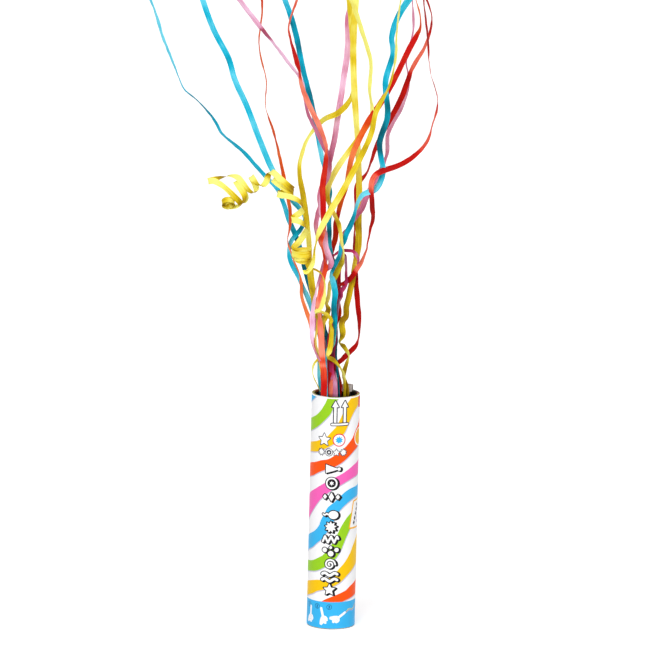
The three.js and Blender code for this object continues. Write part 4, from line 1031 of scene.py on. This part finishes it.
# Party motifs of filled shapes and of lines with a width, each about 11 mm wide and 7 mm high
motifs = {
    "star": {"fills": [roundStar(5, 4, 1.9)]},
    "burst": {"fills": [roundStar(9, 3.9, 2.3)]},
    "curl": {"lines": [(spiral(3.5, 0.5, 1.7), 1)]},
    "waves": {"lines": [(wave(4.9, 0.8, 3, up=1.9), 1.7), (wave(4.9, 0.8, 3, up=-1.9), 1.7)]},
    "zigzag": {"lines": [([(-5, -1.5), (-3.6, 2), (-1.6, -2), (0.4, 2), (2.4, -2), (4.2, 2),
                           (5, 0.5)], 1.3)]},
    "confetti": {"fills": [oval(1.5, 1.5, across=-3.6, up=1), oval(1.8, 1.8, across=0.4, up=-1.3),
                           oval(1.4, 1.4, across=4.1, up=1.2), oval(0.9, 0.9, across=0.3, up=2.7)]},
    "balloon": {"fills": [oval(3.2, 2.7, across=1.6)],
                "lines": [([(-1.6, 0), (-2.8, 0.7), (-4, -0.4), (-5.2, 0.3)], 1)]},
    "lozenges": {"fills": [roundStar(2, 3, 1.7), [(4.2, -1.7), (5.6, 0), (4.2, 1.7), (2.8, 0)],
                           [(-4.2, -1.7), (-2.8, 0), (-4.2, 1.7), (-5.6, 0)]]},
    "hat": {"fills": [[(-4, -2.8), (4.6, 0), (-4, 2.8)], oval(1.1, 1.1, across=4.6)]},
    "hoop": {"lines": [(oval(3.3, 3.3) + [(3.3, 0)], 1)], "fills": [roundStar(6, 1.6, 0.8)]},
}
motifColumn = {"across": -1.4, "edge": 0.62, "shade": (1, -0.4),
               "order": [("star", 26.2), ("waves", 34.6), ("curl", 43), ("confetti", 51.4),
                         ("zigzag", 59.4), ("burst", 67.6), ("balloon", 75.6), ("lozenges", 87.4),
                         ("hoop", 96.4), ("hat", 105.8)]}
numerals = {"1": [[(-0.3, 0.5), (0.1, 0.8), (0.1, -0.8)]],
            "2": [[(-0.45, 0.45), (0, 0.8), (0.45, 0.4), (-0.45, -0.8), (0.5, -0.8)]],
            "3": [[(-0.4, 0.7), (0.35, 0.7), (0, 0.1), (0.45, -0.35), (0, -0.8), (-0.45, -0.6)]]}


def turnedBy(points, degrees, at=(0, 0), size=1):
    cosine, sine = math.cos(math.radians(degrees)) * size, math.sin(math.radians(degrees)) * size
    return [(at[0] + x * cosine - y * sine, at[1] + x * sine + y * cosine) for x, y in points]


def capsule(start, end, width, sides=4):  # one stroke with round ends
    angle = math.degrees(math.atan2(end[1] - start[1], end[0] - start[0]))
    reach = width / 2
    rim = []
    for middle, first in ((end, angle - 90), (start, angle + 90)):
        for step in range(sides + 1):
            turn = math.radians(first + 180 * step / sides)
            rim.append((middle[0] + reach * math.cos(turn), middle[1] + reach * math.sin(turn)))
    return rim


def makeInkShapes():  # (outline, ink) in the order of printing, where a later one covers the rest
    shapes = []

    def fill(outline, colour):
        shapes.append((outline, colour))

    def stroke(points, width, colour):
        for start, end in zip(points, points[1:]):
            fill(capsule(start, end, width), colour)

    def motif(name, at, size=1, edge=0.55, edgeInk="black", body="white", shade=None):
        parts = motifs[name]
        layers = [((0, 0), edge, edgeInk), ((0, 0), 0, body)]
        if shade:
            layers.insert(0, (shade, edge, edgeInk))
        for shift, grown, colour in layers:
            place = (at[0] + shift[0], at[1] + shift[1])
            for outline in parts.get("fills", []):
                moved = turnedBy(outline, 0, place, size)
                fill(moved, colour)
                if grown:
                    stroke([*moved, moved[0]], 2 * grown, colour)
            for points, width in parts.get("lines", []):
                stroke(turnedBy(points, 0, place, size), width * size + 2 * grown, colour)

    for shift, shadowInk in label["shadows"]:
        for upper, lower in stripes.values():
            fill(stripeOutline(upper, lower, shift), shadowInk)
    for colour, (upper, lower) in stripes.items():
        fill(stripeOutline(upper, lower), colour)
    half = girth / 2
    band = [(-half, label["bandFoot"]), (half, label["bandFoot"]), (half, label["bandTop"]),
            (-half, label["bandTop"])]
    fill(band, "blue")
    fill([(18.8, 144.6), (27.5, 143.4), (28.6, 148), (28.2, 154), (18.6, 154)], "red")

    # Pair of arrows on a bar
    for across in (-0.1, 6.2):
        arrow = [(0, 150.4), (-2.15, 146.4), (-0.8, 146.4), (-0.8, 135.6), (0.8, 135.6),
                 (0.8, 146.4), (2.15, 146.4)]
        moved = [(across + x, y) for x, y in arrow]
        stroke([*moved, moved[0]], 1.4, "grey")
        fill(moved, "white")
    for width, colour in ((2.4, "grey"), (1.2, "white")):
        stroke([(-2.1, 135), (8.3, 135.2)], width, colour)

    # Two rows of small motifs below the arrows
    motif("star", (-7, 124.6), size=1.08, edge=0.5, edgeInk="grey")
    for size, colour in ((4.3, "red"), (3.6, "white")):
        fill(oval(size, size, 28, 2.8, 124.8), colour)
    fill(turnedBy(motifs["burst"]["fills"][0], 0, (2.8, 124.8), 0.7), "blue")
    for name, across in (("burst", -8.8), ("hoop", -3.6), ("star", 1.2), ("burst", 5.8)):
        motif(name, (across, 116.6), size=0.58, edge=0.45, edgeInk="grey")

    # Disc and box towards the right side
    for size, colour in ((6, "white"), (5.2, "gold")):
        fill(oval(size, size, 32, 20.6, 125.2), colour)
    fill(turnedBy(motifs["star"]["fills"][0], 12, (20.6, 125.2), 0.85), "yellow")
    box = [(15.6, 83), (29.5, 84.5), (26.5, 66), (12.2, 66.6)]
    stroke([*box, box[0]], 2.2, "gold")
    fill(box, "white")
    for step in range(5):
        fill(turnedBy(roundStar(2, 1.7, 1.2), 0, (16.2 + step * 1.05, 69.3 + step * 2.8)), "grey")
        fill(oval(1.1, 1.1, 12, 20.6 + step * 1.05, 69.6 + step * 2.8), "lilac")

    # Column of large motifs up the front
    for name, up in motifColumn["order"]:
        motif(name, (motifColumn["across"], up), edge=motifColumn["edge"],
              shade=motifColumn["shade"])

    # Steps on the band: a numeral in a ring, and a hand that holds the stick
    for numeral, across in zip("123", (-16.8, -9.4, -1.2)):
        rim = oval(1.6, 1.6, 20, across, 14.8)
        stroke([*rim, rim[0]], 0.28, "navy")
        for line in numerals[numeral]:
            stroke(turnedBy(line, 0, (across, 14.8)), 0.4, "navy")
    for across, lean in ((-15.4, 0), (-5.2, 16), (4.4, -56)):
        hand = [(-3.4, -3.9), (-2.2, -4.9), (-0.6, -3.7), (0.5, -4.6), (1.4, -4.3), (1.5, -3.2),
                (2.6, -2.8), (2.9, -1.2), (2.4, 0.2), (1.2, 0.9), (-1, 0.7), (-2.4, -1.2)]
        fill(turnedBy(hand, lean, (across, 7.8)), "white")
        stroke(turnedBy([(0.2, 0), (0.4, 6)], lean, (across, 7.8)), 1.6, "white")
        for finger in (-2.2, -1, 0.2):
            stroke(turnedBy([(-0.6, finger), (1.6, finger + 0.2)], lean, (across, 7.4)), 0.16,
                   "lilac")
    for colour, rise in (("pink", 0), ("green", 0.5), ("yellow", 1)):
        stroke(turnedBy(wave(5.5, 0.8, 2.5), 16, (16, 12 + rise)), 0.26, colour)
    return shapes


def stripeOutline(upper, lower, shift=(0, 0)):  # cut off level at the band and above the rim
    low, high = label["bandTop"] - label["stripeLap"], label["printEnd"]
    sides = []
    for knots in (upper, lower):
        pointAt = smoothCurve([Vector((x + shift[0], y + shift[1])) for x, y in knots])
        side = []
        for span, (first, second) in enumerate(zip(knots, knots[1:])):
            cuts = max(1, round(math.dist(first, second) / label["inkStep"]))
            side += [pointAt(span + cut / cuts) for cut in range(cuts)]
        inside = [point for point in side if low + 0.1 < point.y < high - 0.1]
        below = [point for point in side if point.y <= low][-1]
        above = [point for point in side + [pointAt(len(knots) - 1)] if point.y >= high][0]
        start = below.lerp(inside[0], (low - below.y) / (inside[0].y - below.y))
        end = inside[-1].lerp(above, (high - inside[-1].y) / (above.y - inside[-1].y))
        sides.append([start, *inside, end])
    return [(point.x, point.y) for point in sides[0] + sides[1][::-1]]


# Rows of (way up the sheet, radius, height, normal out, normal up)
def labelProfile(inside=False):
    fold, paper, bite = label["fold"], label["paper"], 90 / label["foldSteps"]
    outer, inner, top = label["radius"] - fold, label["mouthRadius"] + fold, tube["length"] - fold
    bend = fold - paper if inside else fold
    rows = [(label["foot"], outer + bend, label["foot"], 1, 0)]
    way = top
    for middle, start in ((outer, 0), (inner, 90)):
        for step in range(label["foldSteps"] + 1):
            turn = math.radians(start + bite * step)
            rows.append((way + fold * math.radians(bite * step), middle + bend * math.cos(turn),
                         top + bend * math.sin(turn), math.cos(turn), math.sin(turn)))
        way = rows[-1][0] + (outer - inner if start == 0 else 0)
    rows.append((way + top - label["turnInEnd"], inner - bend, label["turnInEnd"], -1, 0))
    return rows


def makeLabel():
    rows, backRows = labelProfile(), labelProfile(inside=True)
    half, foot, top, near = girth / 2, rows[0][0], rows[-1][0], 1e-3
    foldTop = rows[label["foldSteps"] + 1][0]
    flat, lines, outlines, colours = [], [], [], []

    def addOutline(points, colour):  # always anticlockwise, which tells its inside
        turning = sum(x * after[1] - after[0] * y
                      for (x, y), after in zip(points, points[1:] + points[:1]))
        points = points if turning > 0 else points[::-1]
        outlines.append(list(range(len(flat), len(flat) + len(points))))
        flat.extend(Vector(point) for point in points)
        colours.append(ink(*(inks[colour] if isinstance(colour, str) else colour)))

    def addLine(start, end):
        lines.append((len(flat), len(flat) + 1))
        flat.extend((Vector(start), Vector(end)))

    def addBox(left, right, low, high, colour):
        addOutline([(left, low), (right, low), (right, high), (left, high)], colour)

    addBox(-half, half, foot, top, "paper")
    for outline, colour in makeInkShapes():
        low, high = min(x for x, y in outline), max(x for x, y in outline)
        for turn in range(math.ceil((-half - high) / girth), math.floor((half - low) / girth) + 1):
            addOutline([(x + turn * girth, y) for x, y in outline], colour)
    # Painted shade: inside the mouth the turned-in print is laid in dark olive, rust, wine and umber, the stripes'
    # colours in shade.
    for left, right, colour in label["rimPaintedShade"]:
        addBox(left * half, right * half, foldTop, top, colour)
    addBox(-half, half, label["rimFrom"], foldTop, "white")
    addBox(-half, half, label["blackFrom"], top, "black")
    for column in range(1, label["columns"]):
        across = half * (2 * column / label["columns"] - 1)
        addLine((across, foot), (across, top))
    for row in rows[1:-1]:
        addLine((-half, row[0]), (half, row[0]))
    spots, edges, faces, fromVerts, fromEdges, fromFaces = geometry.delaunay_2d_cdt(
        flat, lines, outlines, 1, 1e-5, True)

    def onSheet(across, way):
        last = len(rows) - 2
        row = next((index for index in range(last) if way < rows[index + 1][0] - 1e-6), last)
        before, after = rows[row], rows[row + 1]
        share = (way - before[0]) / (after[0] - before[0])
        radius, height, out, up = (low + (high - low) * share
                                   for low, high in zip(before[1:], after[1:]))
        lapped = max(0, 1 - (half - across) / label["overlapReach"])
        radius += label["overlap"] * lapped * max(0, out)
        side = Vector((math.sin(across / label["radius"]), -math.cos(across / label["radius"]), 0))
        return side * radius + Vector((0, 0, height)), side * out + Vector((0, 0, up))

    placed = [onSheet(spot.x, spot.y) for spot in spots]
    points = [at for at, normal in placed]
    polygons, paint, normals = [], [], []
    for face, origins in zip(faces, fromFaces):
        if 0 in origins:
            polygons.append(list(face))
            paint += [colours[max(origins)]] * len(face)
            normals += [placed[corner][1] for corner in face]
    paper = ink(*inks["paper"])

    def addFace(corners, directions=None):
        polygons.append(corners)
        first, second, third = (points[corner] for corner in corners[:3])
        level = (second - first).cross(third - first).normalized()
        paint.extend([paper] * len(corners))
        normals.extend(directions or [level] * len(corners))

    # Back of the paper, and the cut edges at the foot and inside the mouth
    count, back = label["columns"], len(points)
    sides = []
    for row in backRows:
        for column in range(count):
            angle = (2 * column / count - 1) * math.pi
            side = Vector((math.sin(angle), -math.cos(angle), 0))
            points.append(side * row[1] + Vector((0, 0, row[2])))
            sides.append(-(side * row[3] + Vector((0, 0, row[4]))))
    for row in range(len(backRows) - 1):
        for column in range(count):
            here, beside = row * count + column, row * count + (column + 1) % count
            corners = [here, here + count, beside + count, beside]
            addFace([back + corner for corner in corners], [sides[corner] for corner in corners])
    for row, way in ((0, foot), (len(backRows) - 1, top)):
        rim = sorted((spot.x, index) for index, spot in enumerate(spots)
                     if abs(spot.y - way) < near and abs(spot.x) < half + near)
        for column in range(count):
            behind = back + row * count
            corners = [rim[column][1], behind + column, behind + (column + 1) % count,
                       rim[column + 1][1]]
            addFace(corners if row == 0 else corners[::-1])
        closing = [rim[-1][1], back + row * count, rim[0][1]]
        addFace(closing if row == 0 else closing[::-1])

    # Step where the sheet's end lies over its beginning
    ends = [sorted((spot.y, index) for index, spot in enumerate(spots)
                   if abs(spot.x - seam) < near and foot - near < spot.y < top + near)
            for seam in (-half, half)]
    for (first, second), (under, over) in zip(zip(*ends), zip(ends[0][1:], ends[1][1:])):
        addFace([second[1], first[1], under[1], over[1]])
    mesh = bpy.data.meshes.new("printed_label")
    mesh.from_pydata([at * mm for at in points], [], polygons)
    shown = mesh.color_attributes.new("ink", "FLOAT_COLOR", "CORNER")
    shown.data.foreach_set("color", [level for colour in paint for level in colour])
    mesh.polygons.foreach_set("use_smooth", [True] * len(mesh.polygons))
    mesh.normals_split_custom_set(normals)
    mesh.materials.append(makePrintedPaper())
    return mesh


def makePrintedPaper():  # satin coated paper under ink, with a faint grain and soft dents
    material, tree, surface = newMaterial("printedPaper")
    printed = addNode(tree, "ShaderNodeAttribute", attribute_name="ink")
    fibres = addFibres(tree, objectPlace(tree), label["fibres"])
    grain = remapped(tree, fibres["Shade"], 0.3, 0.7, label["grainDark"])
    gloss = remapped(tree, fibres["Shade"], 0.3, 0.7, *label["roughness"])
    dress(tree, surface, shaded(tree, printed.outputs["Color"], grain), fibres["Height"],
          label["relief"], label["bump"], gloss, label["specular"])
    return material


addPiece("label_print", makeLabel(), "printed_paper", ["printed_label"])
print("label made")


# Finishes of the board, the black lining and the glue, which keep their solids' own shapes
boards = {
    "woundBoard": {"deep": (150, 128, 96), "light": (206, 186, 152), "roughness": 0.82, "bump": 0.5,
                   "plyRise": 34 * mm, "plyDark": 0.62},
    "blackPly": {"deep": (14, 12, 14), "light": (40, 37, 38), "roughness": 0.66, "bump": 0.35,
                 "plyRise": 26 * mm, "plyDark": 0.55},
    "greyBoard": {"deep": (132, 124, 112), "light": (190, 182, 168), "roughness": 0.88, "bump": 0.6,
                  "plyRise": 0, "plyDark": 1},
}
boardFinish = {"specular": 0.3, "relief": 0.15 * mm, "seam": 0.03,
               "fibres": {"Fibre Density": 1500.0, "Fibre Length": 0.35, "Crease Density": 420.0,
                          "Mottle Density": 160.0}}


def makeSpiralPly():  # 1 on the face of a ply that winds up a tube, 0 in the seam beside it
    tree, given, out = newGroup("spiralPly", "ShaderNodeTree",
                                {"Place": "NodeSocketVector", "Rise": 0.03},
                                {"Face": "NodeSocketFloat"})
    split = addNode(tree, "ShaderNodeSeparateXYZ", {"Vector": given.outputs["Place"]}).outputs
    turns = mathOf(tree, "DIVIDE", mathOf(tree, "ARCTAN2", split["Y"], split["X"]), 2 * math.pi)
    climbed = mathOf(tree, "DIVIDE", split["Z"], given.outputs["Rise"])
    place = mathOf(tree, "FRACT", mathOf(tree, "SUBTRACT", climbed, turns))
    setInput(tree, out, "Face", remapped(tree, place, 0.0, boardFinish["seam"]))
    return tree


spiralPly = makeSpiralPly()


def makeBoard(name):
    board = boards[name]
    material, tree, surface = newMaterial(name)
    place = objectPlace(tree)
    fibres = addFibres(tree, place, boardFinish["fibres"])
    colour = mixed(tree, remapped(tree, fibres["Shade"], 0.35, 0.65), ink(*board["deep"]),
                   ink(*board["light"]), data_type="RGBA")
    height = fibres["Height"]
    if board["plyRise"]:
        face = addNode(tree, "ShaderNodeGroup", {"Place": place, "Rise": board["plyRise"]},
                       node_tree=spiralPly).outputs["Face"]
        colour = shaded(tree, colour, remapped(tree, face, 0.0, 1.0, board["plyDark"]))
        height = mathOf(tree, "ADD", height, face)
    dress(tree, surface, colour, height, boardFinish["relief"], board["bump"],
          board["roughness"], boardFinish["specular"])
    return material


glue = {"deep": (206, 184, 132), "light": (240, 228, 196), "roughness": 0.28, "specular": 0.5,
        "cloudScale": 130.0, "bubbleScale": 700.0, "bump": 0.3, "relief": 0.2 * mm,
        "under": 0.35, "underReach": 2 * mm}


def makeHotGlue():  # milky, a little see-through, with small bubbles
    material, tree, surface = newMaterial("hotGlue")
    place = objectPlace(tree)
    bubbles = addNode(tree, "ShaderNodeTexVoronoi", {"Vector": place,
                                                     "Scale": glue["bubbleScale"]})
    colour = rampOf(tree, noiseOf(tree, place, glue["cloudScale"], 3.0),
                    ((0.35, glue["deep"]), (0.65, glue["light"])))
    dress(tree, surface, colour, bubbles.outputs["Distance"], glue["relief"], glue["bump"],
          glue["roughness"], glue["specular"])
    setInput(tree, surface, "Subsurface Weight", glue["under"])
    setInput(tree, surface, "Subsurface Scale", glue["underReach"])
    return material


def refinish(node, material):
    slots = frame["nodes"][node].material_slots
    if not slots:
        frame["nodes"][node].data.materials.append(material)
    for slot in slots:
        slot.material = material


for node, board in (("tube_core", "woundBoard"), ("inner_liner", "blackPly"),
                    ("base_disc", "greyBoard")):
    refinish(node, makeBoard(board))
refinish("glue_pad", makeHotGlue())
print("board, lining and glue finished")


# Floor, backdrop and light
studio = {"floorSize": 60, "floorTone": 0.86, "floorRoughness": 0.9, "floorSpecular": 0.1,
          "floorGlow": 0.42, "world": 0.56, "aim": (0, 0, 0.2),
          "lamps": {"key": {"at": (-0.6, -1.7, 1.4), "energy": 1.35, "spread": 30},
                    "fill": {"at": (0.9, -1.5, 0.6), "energy": 0.8, "spread": 50}}}


def seenDirectly(tree):  # 1 for what the camera sees, also mirrored or through something, else 0
    rays = addNode(tree, "ShaderNodeLightPath").outputs
    seen = mathOf(tree, "MAXIMUM", rays["Is Camera Ray"], rays["Is Glossy Ray"])
    return mathOf(tree, "MAXIMUM", seen, rays["Is Transmission Ray"])


def makeFloor():
    bpy.ops.mesh.primitive_plane_add(size=studio["floorSize"])
    floor = bpy.context.object
    floor.name = "floor"
    material, tree, surface = newMaterial("paleFloor")
    tone = studio["floorTone"]
    for name, value in (("Base Color", (tone, tone, tone, 1)),
                        ("Roughness", studio["floorRoughness"]),
                        ("Specular IOR Level", studio["floorSpecular"])):
        setInput(tree, surface, name, value)
    strength = mathOf(tree, "MULTIPLY", seenDirectly(tree), studio["floorGlow"])
    glow = addNode(tree, "ShaderNodeEmission", {"Strength": strength})
    both = addNode(tree, "ShaderNodeAddShader", {0: surface.outputs[0], 1: glow.outputs[0]})
    result = next(node for node in tree.nodes if node.type == "OUTPUT_MATERIAL")
    tree.links.new(both.outputs[0], result.inputs["Surface"])
    floor.data.materials.append(material)
    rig.stage(floor)


def makeStudio():
    scene = bpy.context.scene
    scene.view_settings.view_transform = "Standard"
    makeFloor()
    world = bpy.data.worlds.new("studio")
    scene.world = world
    world.use_nodes = True
    tree = world.node_tree
    background = next(node for node in tree.nodes if node.type == "BACKGROUND")
    setInput(tree, background, "Color", (1, 1, 1, 1))
    setInput(tree, background, "Strength", mixed(tree, seenDirectly(tree), studio["world"], 1.0))
    for name, lamp in studio["lamps"].items():
        data = bpy.data.lights.new(f"{name}Light", "SUN")
        data.angle = math.radians(lamp["spread"])
        data.energy = lamp["energy"]
        light = bpy.data.objects.new(f"{name}Light", data)
        light.location = lamp["at"]
        aim = Vector(studio["aim"]) - light.location
        light.rotation_euler = aim.to_track_quat("-Z", "Y").to_euler()
        scene.collection.objects.link(light)


makeStudio()
print("studio made")

visualBox = [list(corner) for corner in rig.bounds()]
with open("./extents.json", "w") as sizes:
    json.dump({"cad": cadBox, "visual": visualBox}, sizes)
